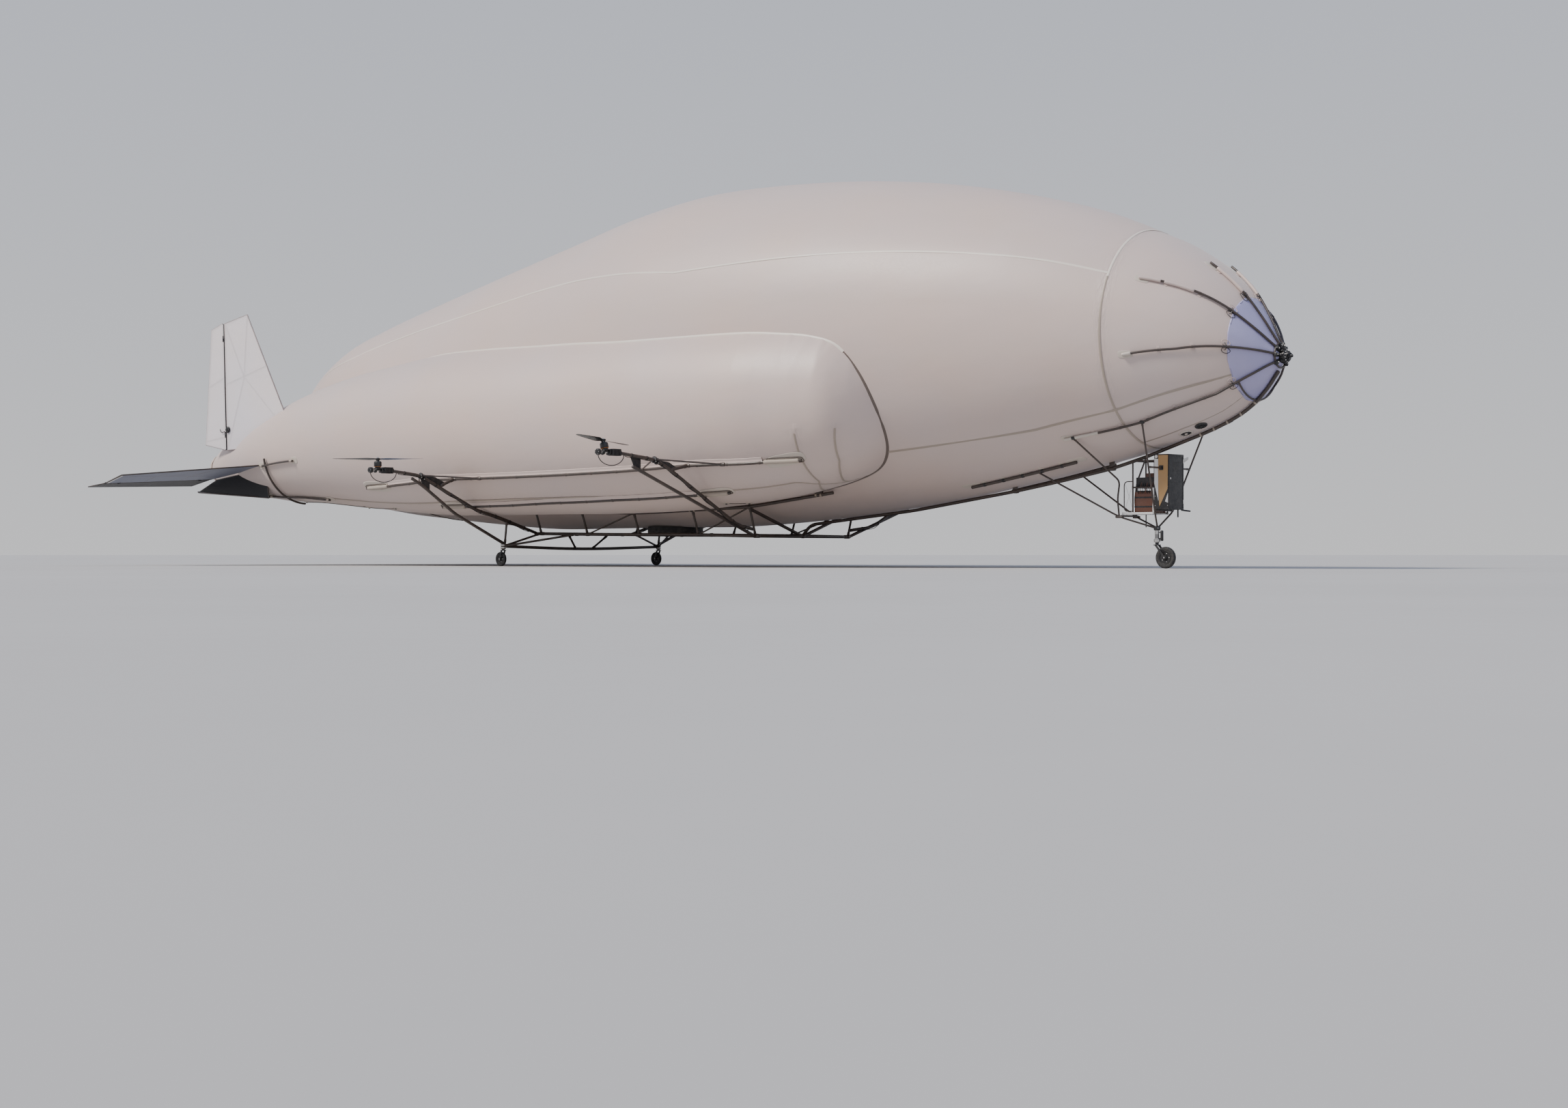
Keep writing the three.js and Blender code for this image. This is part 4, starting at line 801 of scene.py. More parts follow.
def nose_hub():
    b = Build()
    b.lathe(hub_axis(0.10), FORWARD,
            [(0, 0.0), (0, 0.098), (0.02, 0.1), (0.125, 0.1), (0.135, 0.097), (0.148, 0.085), (0.150, 0.075),
             (0.156, 0.075), (0.170, 0.073), (0.170, 0.03), (0.175, 0.026), (0.215, 0.025), (0.226, 0.022),
             (0.23, 0.012), (0.23, 0.0)], 0, 48)
    for t, out in around(12, "X", 0.5):
        b.lathe(hub_axis(-0.048) + out * 0.086, FORWARD, stud(0.008, 0.006, 0.009, 0.005), 1, 6)
        b.block(hub_axis(-0.005) + out * 0.098, (0.06, 0.02, 0.02), 0, 0.003, Matrix.Rotation(t, 3, "X"))
    # claws that hold the battens' ends, and the hook plates on the front
    for _, side in SIDES:
        for table in BATTENS:
            below = table[0][1]
            turn = math.atan2(-math.sin(math.radians(below)), side * math.cos(math.radians(below)))
            out = Vector((0, math.cos(turn), math.sin(turn)))
            spin = Matrix.Rotation(turn, 3, "X")
            b.block(hub_axis(0.055) + out * 0.150, (0.060, 0.105, 0.052), 0, 0.010, spin)
            b.block(hub_axis(0.010) + out * 0.108, (0.050, 0.040, 0.034), 0, 0.006, spin)
            b.lathe(hub_axis(0.024) + out * 0.165, FORWARD, stud(0.012, 0.008, 0.011, 0.007), 1, 6)
    for turn in (0.5, 2.6, 4.4):
        out, across = Vector((0, math.cos(turn), math.sin(turn))), Vector((0, -math.sin(turn), math.cos(turn)))
        hook = [hub_axis(-0.075) + out * reach + across * aside
                for reach, aside in ((0.036, -0.02), (0.074, -0.016), (0.074, 0.016), (0.036, 0.02))]
        b.plate(hook, 0.016, 0, 0.003)
    b.make("nose_hub_detail", "airframe", [BLACK_METAL, STEEL], ["nose_hub"])


def nose_battens():
    b = Build()
    for _, side in SIDES:
        for index, table in enumerate(BATTENS):
            points = laid(CENTRE, side, table, BATTEN_PROUD, step=0.06)
            b.tube(points, BATTEN, 0)
            end, below = table[-1]
            sleeve_run = (0.50, end - 0.95, 0.14, 0.55)[index]
            gaps = [end - sleeve_run]
            while gaps[-1] + SLEEVE_PITCH < end:
                gaps.append(gaps[-1] + SLEEVE_PITCH)
            gaps.append(end + 0.03)
            for p, q in zip(gaps, gaps[1:]):
                if q - p > 0.12:
                    sleeve = laid(CENTRE, side, table, BATTEN_PROUD - 0.003, p + 0.03, min(q - 0.03, end + 0.01),
                                  step=0.03)
                    b.tube(sleeve, BATTEN + 0.014, 3 if index < 2 else 2, wobble=0.12)
            skin_patch(b, CENTRE, side, end - 0.03, below, 0.20, 0.11, 2)
            spots = [table[0][0] + 0.46] + [0.9 + SLEEVE_PITCH * k for k in range(6)]
            for aft in spots:
                if aft < end - 0.12:
                    lashing(b, *on_route(CENTRE, side, table, aft, BATTEN_PROUD), BATTEN - 0.003, 0, 3)
                    skin_patch(b, CENTRE, side, aft, table_at(table, aft), 0.05, 0.10, 3, 0.003)
    for aft, first, last in ((0.09, 0, 360), (0.47, 42, 138)):
        ring = [CENTRE.skin(1, aft, below, BATTEN_PROUD) for below in range(first, last + 1, 6)]
        b.tube(ring, BATTEN * 0.8, 0, ends="round" if aft > 0.1 else "flat")
    # lacing loops where the battens come off the cap
    for _, side in SIDES:
        for table in BATTENS:
            below = table_at(table, LACING_AFT)
            for way in (-1, 1):
                loop = [CENTRE.skin(side, LACING_AFT + 0.045 * math.cos(t), below + way * (4.2 + 3.0 * math.sin(t)),
                                    0.012 + 0.004 * math.sin(2 * t)) for t, _ in around(12)]
                b.tube(loop + loop[:1], 0.010, 4 if way > 0 else 3, 6)
                tie = [CENTRE.skin(side, LACING_AFT, below + way * 1.4, BATTEN_PROUD + 0.012),
                       CENTRE.skin(side, LACING_AFT + 0.01, below + way * 4.0, 0.016)]
                b.tube(tie, 0.012, 4, 6)
    b.make("nose_batten_set", "airframe", [DARK_TUBE, SLEEVES, PATCHES, HULL, WIRE], ["nose_battens"])


nose_cap()
nose_hub()
nose_battens()

# Keel and trusses

UPPER_CHORD = [(7.31, 1.38, 1.19), (9.10, 1.38, 1.03), (11.70, 1.38, 1.02), (14.30, 1.38, 1.17), (17.16, 1.38, 1.44)]
LOWER_CHORD = [(9.10, 1.23, 0.545), (10.48, 1.23, 0.61), (13.30, 1.23, 0.70), (14.46, 1.23, 0.75)]
POSTS = [9.10, 10.40, 11.80, 13.10, 14.30]
DIAGONALS = [(10.40, 9.10), (13.10, 11.80)]
SADDLES = [7.60, 10.40, 13.10, 16.80]
KEEL_START, KEEL_TOUCH = 0.13, 1.42
KEEL = [(2.29, 0, 1.555), (2.91, 0, 1.40), (3.92, 0, 1.24), (4.70, 0, 1.13), (6.70, 0, 0.90), (8.92, 0, 0.74),
        (9.10, 0, 0.56)]
CROSS_TUBES = [9.10, 10.15, 13.44, 14.33]
MAIN_GEAR_PORT = 2.02


def on_chord(chord, side, aft):
    _, port, up = between(chord, 0, aft)
    return ship(aft, side * port, up)


def joint_wrap(b, point, axis, diameter, slot=0, length=0.09):
    """The wound sleeve where tubes are bonded together."""
    r = diameter / 2
    w = length / 2
    b.lathe(point, axis, [(-w, r * 1.01), (-w * 0.8, r * 1.14), (-w * 0.3, r * 1.22), (w * 0.3, r * 1.22),
                          (w * 0.8, r * 1.14), (w, r * 1.01)], slot, 14)


def node_gusset(b, at, a, c, size):
    """A small web in the corner between two tubes."""
    p, q = at + (a - at).normalized() * size, at + (c - at).normalized() * size
    b.plate([at, p, q], 0.006, 0, 0.001)


def strut(b, a, c, diameter):
    """A tube with a bonded joint at each end."""
    b.tube([a, c], diameter)
    axis = (c - a).normalized()
    for point, sign in ((a, 1), (c, -1)):
        joint_wrap(b, point + axis * sign * 0.05, axis, diameter, 0, 0.08)


def girder(hand, side):
    b = Build()
    upper = rounded(route(UPPER_CHORD, side), 0.35, 6)
    lower = rounded(route(LOWER_CHORD, side), 0.35, 6)
    b.tube(upper, TUBE)
    b.tube(lower, TUBE)
    for aft in POSTS:
        high, low = on_chord(UPPER_CHORD, side, aft), on_chord(LOWER_CHORD, side, aft)
        strut(b, high, low, STRUT)
        joint_wrap(b, high, FORWARD, TUBE)
        joint_wrap(b, low, FORWARD, TUBE)
    for low, high in DIAGONALS:
        strut(b, on_chord(LOWER_CHORD, side, low), on_chord(UPPER_CHORD, side, high), STAY)
    for aft in SADDLES:
        at = on_chord(UPPER_CHORD, side, aft)
        b.block(at + UP * 0.045, (0.15, 0.045, 0.09), 0, 0.008)
        for way in (1, -1):
            lashing(b, at + FORWARD * (0.05 * way), FORWARD, TUBE, 1, 4)
    b.make(f"girder_truss_{hand}", "airframe", [DARK_TUBE, SLEEVES], [f"girder_{hand}"])


def cross_frame():
    b = Build()
    middle = [ship(aft, 0, on_chord(LOWER_CHORD, 1, aft).z - ship(aft, 0, 0).z) for aft in CROSS_TUBES]
    for aft, mid in zip(CROSS_TUBES, middle):
        a, c = on_chord(LOWER_CHORD, -1, aft), on_chord(LOWER_CHORD, 1, aft)
        b.tube([a, c], TUBE)
        joint_wrap(b, mid, PORTWARD, TUBE)
        for end, sign in ((a, 1), (c, -1)):
            joint_wrap(b, end + Vector((0, 0.06 * sign, 0)), PORTWARD, TUBE)
    b.tube(rounded([ship(9.10, -1.38, 1.00), middle[0], ship(9.10, 1.38, 1.00)], 0.1), TUBE)
    for a, c in zip(middle, middle[1:]):
        strut(b, a, c, STRUT)
    b.make("belly_cross_frame", "airframe", [DARK_TUBE], ["cross_frame"])


def keel():
    b = Build()
    table = [(KEEL_START, 90), (KEEL_TOUCH, 90)]
    proud = CAP_SKIN + TUBE / 2 + 0.002
    on_hull = laid(CENTRE, 1, table, proud, step=0.06)
    b.tube(on_hull + rounded(route(KEEL), 0.25, 5), TUBE)
    for aft in (2.91, 4.70):
        at = on_chord(KEEL, 1, aft)
        b.block(at + UP * 0.085, (0.09, 0.028, 0.15), 0, 0.008)
        joint_wrap(b, at, FORWARD, TUBE, 0, 0.12)
    for k in range(5):
        lashing(b, *on_route(CENTRE, 1, table, 0.5 + 0.22 * k, proud), TUBE, 1, 3)
    b.make("keel_boom", "airframe", [DARK_TUBE, SLEEVES], ["keel_tube"])


def landing_frame():
    b = Build()
    middle = ship(MAIN_AXLE_AFT, 0, 0.46)
    across = [ship(MAIN_AXLE_AFT, -MAIN_GEAR_PORT, 0.515), middle, ship(MAIN_AXLE_AFT, MAIN_GEAR_PORT, 0.515)]
    b.tube(rounded(across, 0.9, 8), TUBE)
    for _, side in SIDES:
        node = ship(MAIN_AXLE_AFT, side * MAIN_GEAR_PORT, 0.515)
        back, front = ship(14.33, side * 1.23, 0.745), ship(13.44, side * 1.23, 0.70)
        foot, head = ship(MAIN_AXLE_AFT, side * 0.20, 0.465), ship(14.34, side * 0.50, 0.72)
        strut(b, node, back, STRUT)
        strut(b, node, front, STRUT)
        strut(b, foot, head, STRUT)
        node_gusset(b, node, back, middle, 0.16)
        node_gusset(b, node, front, back, 0.13)
        node_gusset(b, foot, head, middle, 0.10)
        socket = ship(MAIN_AXLE_AFT, side * MAIN_GEAR_PORT, 0.565)
        b.lathe(socket, DOWN,
                [(0, 0.03), (0.004, 0.043), (0.012, 0.045), (0.095, 0.045), (0.103, 0.043), (0.105, 0.032)], 0, 24)
        for drop in (0.030, 0.075):
            b.band(socket + DOWN * drop, UP, 0.096, 0.026, 1, 28, 0.05)
    b.make("main_gear_frame", "airframe", [DARK_TUBE, STEEL], ["landing_frame"])


for hand, side in SIDES:
    girder(hand, side)
cross_frame()
keel()
landing_frame()

# Side rails

UPPER_RAIL = [(6.85, 46), (7.40, 42), (8.28, 38), (9.00, 36), (14.80, 35.5), (15.92, 39), (16.86, 43)]
LOWER_RAIL = [(8.48, 63), (9.44, 60), (10.90, 59), (12.37, 60), (13.50, 62), (15.26, 63)]
RAIL_PROUD = RAIL / 2 + 0.002
# how far from a rail's ends its cuffs and its skirt begin, and how far apart the cuffs are
CUFF_FREE, SKIRT_FREE, CUFF_PITCH = 0.7, 0.65, 0.55
# the cloth skirt over a rail, from the tube's upper side out to the skin: reach along the skin, rise off it
SKIRT = [(-0.0256, 0.024), (-0.031, 0.017), (-0.040, 0.011), (-0.055, 0.006), (-0.078, 0.003), (-0.083, -0.004)]


def rail(name, node, side, table):
    b = Build()
    b.tube(laid(SIDE, side, table, RAIL_PROUD), RAIL, 0)
    start, end = table[0][0], table[-1][0]
    for first, last in ((start + 0.05, start + 0.62), (end - 0.62, end - 0.05)):
        b.tube(laid(SIDE, side, table, RAIL_PROUD, first, last, step=0.03), 0.074, 1, wobble=0.12, sides=14)
    cuffs = int((end - start - 2 * CUFF_FREE) / CUFF_PITCH)
    for aft in evenly(start + CUFF_FREE, end - CUFF_FREE, cuffs):
        b.band(*on_route(SIDE, side, table, aft, RAIL_PROUD), RAIL + 0.008, 0.045, 0, 14)
        skin_patch(b, SIDE, side, aft, table_at(table, aft), 0.07, 0.12, 2, 0.003)
    for aft in (start + 0.28, end - 0.28):
        skin_patch(b, SIDE, side, aft, table_at(table, aft), 0.72, 0.24, 2)
        outline = []
        for t, _ in around(32):
            c, s = squarish(t, 0.35)
            place, lean = aft + c * 0.31, math.degrees(s * 0.056 / SIDE.at(aft + c * 0.31)[3])
            outline.append(SIDE.skin(side, place, table_at(table, place) + lean, 0.010))
        b.tube(outline + outline[:1], 0.011, 0, 8, ends="flat")
    skirt = []
    for aft in evenly(start + SKIRT_FREE, end - SKIRT_FREE, int((end - start - 2 * SKIRT_FREE) / 0.08)):
        below, radius = table_at(table, aft), SIDE.at(aft)[3]
        row = []
        for reach, rise in SKIRT:
            ripple = 0.002 * math.sin(aft * 22.0) if reach < -0.035 else 0.0
            row.append(SIDE.skin(side, aft, below + math.degrees(reach / radius), rise + ripple))
        skirt.append(row)
    b.rings(skirt, 3, closed=False, caps=(False, False))
    b.make(name, "airframe", [DARK_TUBE, SLEEVES, PATCHES, HULL], [node])


for hand, side in SIDES:
    rail(f"side_rail_upper_{hand}", f"upper_rail_{hand}", side, UPPER_RAIL)
    rail(f"side_rail_lower_{hand}", f"lower_rail_{hand}", side, LOWER_RAIL)

# Outriggers, motors and propellers

MOTOR_PORT = 5.04
OUTRIGGERS = (("front", 8.82, 1.80, -15), ("rear", 14.27, 1.79, 0))
ARMS = (
    dict(
        upper=[(9.10, 1.30, 0.66), (9.00, 1.80, 0.72), (8.89, 3.59, 1.61), (8.87, 3.93, 1.73)],
        lower=[(9.10, 1.258, 0.545), (8.98, 2.82, 1.07), (8.87, 4.39, 1.60)],
        hub=(8.87, 3.93, 1.73), elbow=(8.89, 3.52, 1.575), web=4.36, reach=(-0.67, 0.99),
    ),
    dict(
        upper=[(14.42, 1.258, 0.76), (14.38, 2.20, 1.03), (14.36, 2.76, 1.155), (14.30, 4.10, 1.73)],
        lower=[(14.44, 2.02, 0.56), (14.36, 3.25, 1.08), (14.31, 4.02, 1.55), (14.29, 4.28, 1.67)],
        hub=(14.30, 4.10, 1.73), elbow=(14.32, 3.62, 1.56), web=4.02, reach=(-0.65, 1.00),
    ),
)
SERVO_PORT = MOTOR_PORT - 0.20
TIP_CAP_PORT = MOTOR_PORT + 0.13
CONDUIT_PORT = 4.64
WIRE_PORTS = (4.60, 1.45)


def along_port(rows, port):
    return between(rows, 1, port)


def outrigger(hand, side, which):
    end, aft, up, _ = OUTRIGGERS[which]
    arm = ARMS[which]
    b = Build()
    tip = (aft, SERVO_PORT - 0.06, up)
    outer = arm["upper"] + [tip]
    b.tube(rounded(route(outer, side), 0.16, 6), TUBE)
    b.tube(rounded(route(arm["lower"], side), 0.12, 6), TUBE)
    hub_aft, elbow_aft = arm["hub"][0], arm["elbow"][0]
    hub, elbow, bend = route([arm["hub"], arm["elbow"], arm["upper"][-2]], side)
    inward = (bend - hub).normalized()
    across, other = crosswise(inward)
    for k in range(2):
        at = hub + inward * (0.0175 + 0.07 * k)
        b.band(at, inward, 0.110, 0.034, 1, 28, 0.06)
        for turn in (0.6, 2.2, 4.1):
            out = across * math.cos(turn) + other * math.sin(turn)
            b.lathe(at + out * 0.052, out, stud(0.008, 0.008, 0.010, 0.004), 2, 6)
    for reach in arm["reach"]:
        at = SIDE.along(side, UPPER_RAIL, hub_aft + reach, RAIL_PROUD)
        strut(b, hub, at, STAY)
        joint_wrap(b, at, FORWARD, RAIL + 0.006, 0, 0.10)
    at = SIDE.along(side, UPPER_RAIL, elbow_aft, RAIL_PROUD)
    strut(b, elbow, at, TUBE)
    joint_wrap(b, at, FORWARD, RAIL + 0.006, 0, 0.12)
    start = hub + (at - hub).normalized() * 0.02
    b.plate([start, start + DOWN * 0.02, elbow, elbow + (at - elbow) * 0.4, hub + (at - hub) * 0.45], 0.010, 1, 0.002)
    web = arm["web"]
    outline = [along_port(rows, port) for port, rows in (
        (web - 0.14, arm["lower"]), (web - 0.14, outer), (web + 0.10, outer), (web, arm["lower"]))]
    b.plate([ship(hub_aft, side * port, rise) for _, port, rise in outline], 0.012, 1, 0.002)
    if which == 1:
        strut(b, *route([(14.44, 2.0, 0.56), (14.39, 2.0, 0.97)], side), STRUT)
    # servo box with its lid, ribs and gland
    centre, outward = ship(aft, side * SERVO_PORT, up), PORTWARD * side
    b.block(centre, (0.112, 0.19, 0.102), 1, 0.010, segments=3)
    b.block(centre + UP * 0.050, (0.120, 0.17, 0.010), 1, 0.004)
    for k in range(5):
        b.block(centre + Vector((0.058, side * (-0.06 + 0.03 * k), 0)), (0.006, 0.010, 0.086), 1, 0.0015)
    b.lathe(centre - outward * 0.095, -outward, stud(0.045, 0.02, 0.035, 0.033), 1, 24)
    # axle, and the cap on its end
    b.lathe(centre + outward * 0.09, outward, [(0, 0.018), (TIP_CAP_PORT - SERVO_PORT - 0.08, 0.018)], 2, 24)
    cap = ship(aft, side * TIP_CAP_PORT, up)
    b.lathe(cap, outward, [(0, 0.03), (0.001, 0.047), (0.005, 0.05), (0.045, 0.05), (0.052, 0.047),
                           (0.056, 0.036), (0.057, 0.016), (0.060, 0.014), (0.060, 0.0)], 1, 32)
    for _, out in around(6, "Y"):
        b.lathe(cap + outward * 0.053 + out * 0.040, outward, stud(0.005, 0.004, 0.005, 0.003), 2, 6)
    # conduit loop and its wires
    half = (TIP_CAP_PORT + 0.03 - CONDUIT_PORT) / 2
    loop = [ship(aft, side * (CONDUIT_PORT + half * (1 - math.cos(t))), up - 0.03 - 0.17 * math.sin(t))
            for t in evenly(0, math.pi, 24)]
    b.tube(loop, 0.014, 3, 8)
    run = []
    for k, port in enumerate(evenly(*WIRE_PORTS, 59)):
        row = along_port(outer, port)
        sag = -TUBE / 2 - 0.006 - 0.004 * math.sin(k * 0.9)
        run.append(ship(row[0] + 0.012 * math.sin(k * 0.7), side * port, row[2] + sag))
    b.tube(run, 0.012, 3, 6)
    for k in range(9):
        port = 4.45 - 0.36 * k
        a, c = route([along_port(outer, port), along_port(outer, port - 0.05)], side)
        b.band(a + DOWN * 0.003, (c - a).normalized(), TUBE + 0.018, 0.008, 3, 14)
    b.make(f"outrigger_arm_{end}_{hand}", "airframe", [DARK_TUBE, BLACK_METAL, STEEL, WIRE],
           [f"outrigger_{end}_{hand}"])


def on_axle(which, side):
    """Turns a motor built upright at the origin to its rest tilt on the axle."""
    _, aft, up, tilt = OUTRIGGERS[which]
    return Matrix.Translation(ship(aft, side * MOTOR_PORT, up)) @ Matrix.Rotation(math.radians(tilt), 4, "Y")


def moved(b, matrix):
    b.verts = [matrix @ v for v in b.verts]


def motor(hand, side, which):
    end = OUTRIGGERS[which][0]
    b = Build()
    # tilting yoke: two cheeks, a floor plate and clamp blocks on the axle
    b.block(UP * 0.028, (0.108, 0.128, 0.012), 0, 0.002)
    for sign in (-1, 1):
        half = [(0.052, 0.032), (0.044, -0.030), (0.020, -0.044)]
        outline = [(-x, z) for x, z in half] + half[::-1]
        b.plate([Vector((x, sign * 0.056, z)) for x, z in outline], 0.012, 0, 0.002)
        b.lathe(PORTWARD * sign * 0.049, PORTWARD * sign, stud(0.030, 0.013, 0.016, 0.027), 0, 28)
        for x in (-0.036, 0.036):
            b.lathe(Vector((x, sign * 0.062, 0.020)), PORTWARD * sign, stud(0.006, 0.003, 0.004, 0.003), 1, 6)
    b.block(UP * 0.008, (0.060, 0.098, 0.030), 0, 0.004)
    # stator base, windings and finned bell
    b.lathe(UP * 0.034, UP, [(0, 0.0), (0, 0.048), (0.003, 0.052), (0.012, 0.052), (0.016, 0.040), (0.022, 0.040)],
            0, 40)
    for t, out in around(24):
        b.block(out * 0.050 + UP * 0.060, (0.013, 0.0085, 0.016), 2, 0.003, Matrix.Rotation(t, 3, "Z"))
    b.lathe(UP * 0.066, UP, [(0, 0.056), (0, 0.064), (0.002, 0.065), (0.066, 0.065), (0.072, 0.0635), (0.084, 0.052),
                             (0.090, 0.036), (0.093, 0.030), (0.0985, 0.028), (0.0985, 0.0)], 0, 56)
    for t, out in around(36):
        b.block(out * 0.0640 + UP * 0.100, (0.0018, 0.0040, 0.052), 0, 0.0004, Matrix.Rotation(t, 3, "Z"), 1)
    for t, out in around(8):
        b.block(out * 0.046 + UP * 0.1535, (0.022, 0.007, 0.006), 1, 0.001, Matrix.Rotation(t, 3, "Z"))
    # phase wires to the axle
    for k in (-1, 0, 1):
        points = [Vector((x, y * k, z)) for x, y, z in ((-0.048, 0.018, 0.046), (-0.060, 0.016, 0.030),
                                                        (-0.052, 0.014, 0.002), (-0.030, 0.012, -0.012))]
        b.tube(rounded(points, 0.02, 4), 0.008, 3, 8)
    moved(b, on_axle(which, side))
    b.make(f"motor_detail_{end}_{hand}", f"motor_{end}_{hand}", [BLACK_METAL, STEEL, COPPER, WIRE],
           [f"motor_{end}_{hand}"])


BLADE_ANGLES = {"front_right": 104, "front_left": 60, "rear_right": 40, "rear_left": -30}
PROP_RADIUS, PROP_HEIGHT, MOTOR_TOP = 0.775, 0.19, 0.165
BLADE_ROWS = [(0.035, 0.040, 30), (0.08, 0.052, 28), (0.15, 0.078, 24), (0.22, 0.095, 22), (0.38, 0.093, 17),
              (0.55, 0.084, 13), (0.72, 0.070, 10.5), (0.86, 0.056, 9), (0.94, 0.044, 8), (0.985, 0.026, 8),
              (0.998, 0.010, 8)]


def propeller(hand, side, which):
    end = OUTRIGGERS[which][0]
    b = Build()
    for flip in (0, math.pi):
        rings = []
        for share, chord, pitch in BLADE_ROWS:
            angle = math.radians(pitch)
            ring = []
            thick = 0.16 if share < 0.1 else 0.105
            for t, _ in around(18):
                c = 0.5 * math.cos(t)
                lift = thick * math.sin(t) * (0.5 + 0.45 * math.cos(t)) * (1.0 if math.sin(t) > 0 else 0.6)
                lift += 0.05 * (0.25 - c * c)
                across, rise = chord * c, chord * lift
                y = across * math.cos(angle) - rise * math.sin(angle)
                zz = across * math.sin(angle) + rise * math.cos(angle)
                ring.append(Vector((share * PROP_RADIUS, y + 0.004 * share, zz + 0.006 * share * share)))
            rings.append(ring)
        turn = Matrix.Rotation(flip, 3, "Z")
        b.rings([[turn @ p for p in ring] for ring in rings], 0)
    low = MOTOR_TOP + 0.0006 - PROP_HEIGHT
    b.lathe(UP * low, UP, [(0, 0.0), (0, 0.028), (0.003, 0.031), (0.006, 0.032), (0.012, 0.040), (0.030, 0.043),
                           (0.034, 0.043), (0.036, 0.034), (0.040, 0.032), (0.042, 0.0)], 1, 36)
    b.lathe(UP * (low + 0.042), UP, [(0, 0.018), (0.010, 0.018), (0.014, 0.014), (0.016, 0.0)], 2, 24)
    for _, out in around(6, start=0.5):
        b.lathe(out * 0.024 + UP * (low + 0.040), UP, stud(0.0045, 0.006, 0.007, 0.003), 2, 10)
    turn = Matrix.Rotation(math.radians(BLADE_ANGLES[f"{end}_{hand}"]), 4, "Z")
    moved(b, on_axle(which, side) @ Matrix.Translation(UP * PROP_HEIGHT) @ turn)
    b.make(f"propeller_detail_{end}_{hand}", f"propeller_{end}_{hand}", [BLADES, BLACK_METAL, STEEL],
           [f"propeller_{end}_{hand}"])


for hand, side in SIDES:
    for which in (0, 1):
        outrigger(hand, side, which)
        motor(hand, side, which)
        propeller(hand, side, which)

# Nose gear

LEG_AFT, LEG_TOP, LEG_COLLAR, LEG_FOOT = 2.12, 0.47, 0.43, 0.25
CABINET = dict(front=1.79, back=2.04, half=0.22, floor=0.74, top=1.57)
RACK = dict(front=2.0404, back=2.44, tray=2.61, half=0.20, floor=0.67, top=1.49, sheet=0.016, tube=0.024)
BELLY_STRUT = [(3.89, 0.603, 1.388), (2.63, 0.25, 0.65), (2.14, 0.03, 0.47)]
BATTEN_STRUTS = [(2.90, [(2.62, 0.25, 1.19), (2.66, 0.25, 0.92), (2.63, 0.25, 0.65)]),
                 (1.83, [(2.00, 0.27, 0.72), (2.10, 0.03, 0.49)])]
STRIP = [(3.20, 74), (5.09, 75)]


def level(aft, port, up):
    """A point on the nose gear's boxes, which stand level with their heights taken at the leg."""
    point = ship(aft, port, 0)
    point.z = ship(LEG_AFT, 0, up).z
    return point


def level_block(b, front, back, port, half, floor, top, slot=0, bevel=0.004):
    b.block(level((front + back) / 2, port, (floor + top) / 2), (back - front, 2 * half, top - floor), slot, bevel)


def nose_gear_frame():
    b = Build()
    for _, side in SIDES:
        b.tube(rounded(route(BELLY_STRUT, side), 0.12), STAY)
        for start, stops in BATTEN_STRUTS:
            head = CENTRE.along(side, BATTENS[3], start, BATTEN_PROUD)
            points = [head] + route(stops, side)
            b.tube(rounded(points, 0.08), STAY)
            axis = (points[1] - points[0]).normalized()
            joint_wrap(b, head + axis * 0.03, axis, STAY, 0, 0.09)
            b.band(head, FORWARD, BATTEN + 0.012, 0.07, 1, 14)
        low = route(BELLY_STRUT, side)[1]
        joint_wrap(b, low, FORWARD, STAY + 0.006, 0, 0.12)
        b.tube(laid(CENTRE, side, STRIP, RAIL_PROUD, step=0.08), RAIL, 0)
        for aft, below in STRIP:
            skin_patch(b, CENTRE, side, aft, below, 0.34, 0.17, 2)
        for k in range(5):
            aft = 3.45 + 0.35 * k
            at, on = (CENTRE.skin(side, place, table_at(STRIP, aft), RAIL_PROUD) for place in (aft, aft + 0.01))
            b.band(at, (on - at).normalized(), RAIL + 0.010, 0.05, 1, 14)
            skin_patch(b, CENTRE, side, aft, table_at(STRIP, aft), 0.08, 0.15, 2, 0.003)
        # link from the upper strut in to the cabinet's side, with its pad
        link_out, link_in = ship(1.915, side * 0.59, 1.36), ship(1.915, side * CABINET["half"], 1.36)
        strut(b, link_out, link_in, STAY)
        b.block(link_in + Vector((0, side * 0.004, 0)), (0.07, 0.008, 0.07), 1, 0.002)
    for aft, half, up in ((2.00, 0.27, 0.728), (2.60, 0.25, 0.662)):
        strut(b, ship(aft, -half, up), ship(aft, half, up), STAY)
    b.lathe(ship(LEG_AFT, 0, LEG_TOP + 0.03), DOWN,
            [(0, 0.02), (0.003, 0.047), (0.008, 0.05), (0.062, 0.05), (0.068, 0.047), (0.070, 0.036)], 1, 32)
    for _, out in around(4, start=math.pi / 4):
        b.lathe(ship(LEG_AFT, 0, LEG_TOP - 0.005) + out * 0.048, out, stud(0.008, 0.007, 0.009, 0.004), 3, 6)
    b.make("nose_gear_cradle", "airframe", [DARK_TUBE, BLACK_METAL, PATCHES, STEEL], ["nose_gear_frame"])


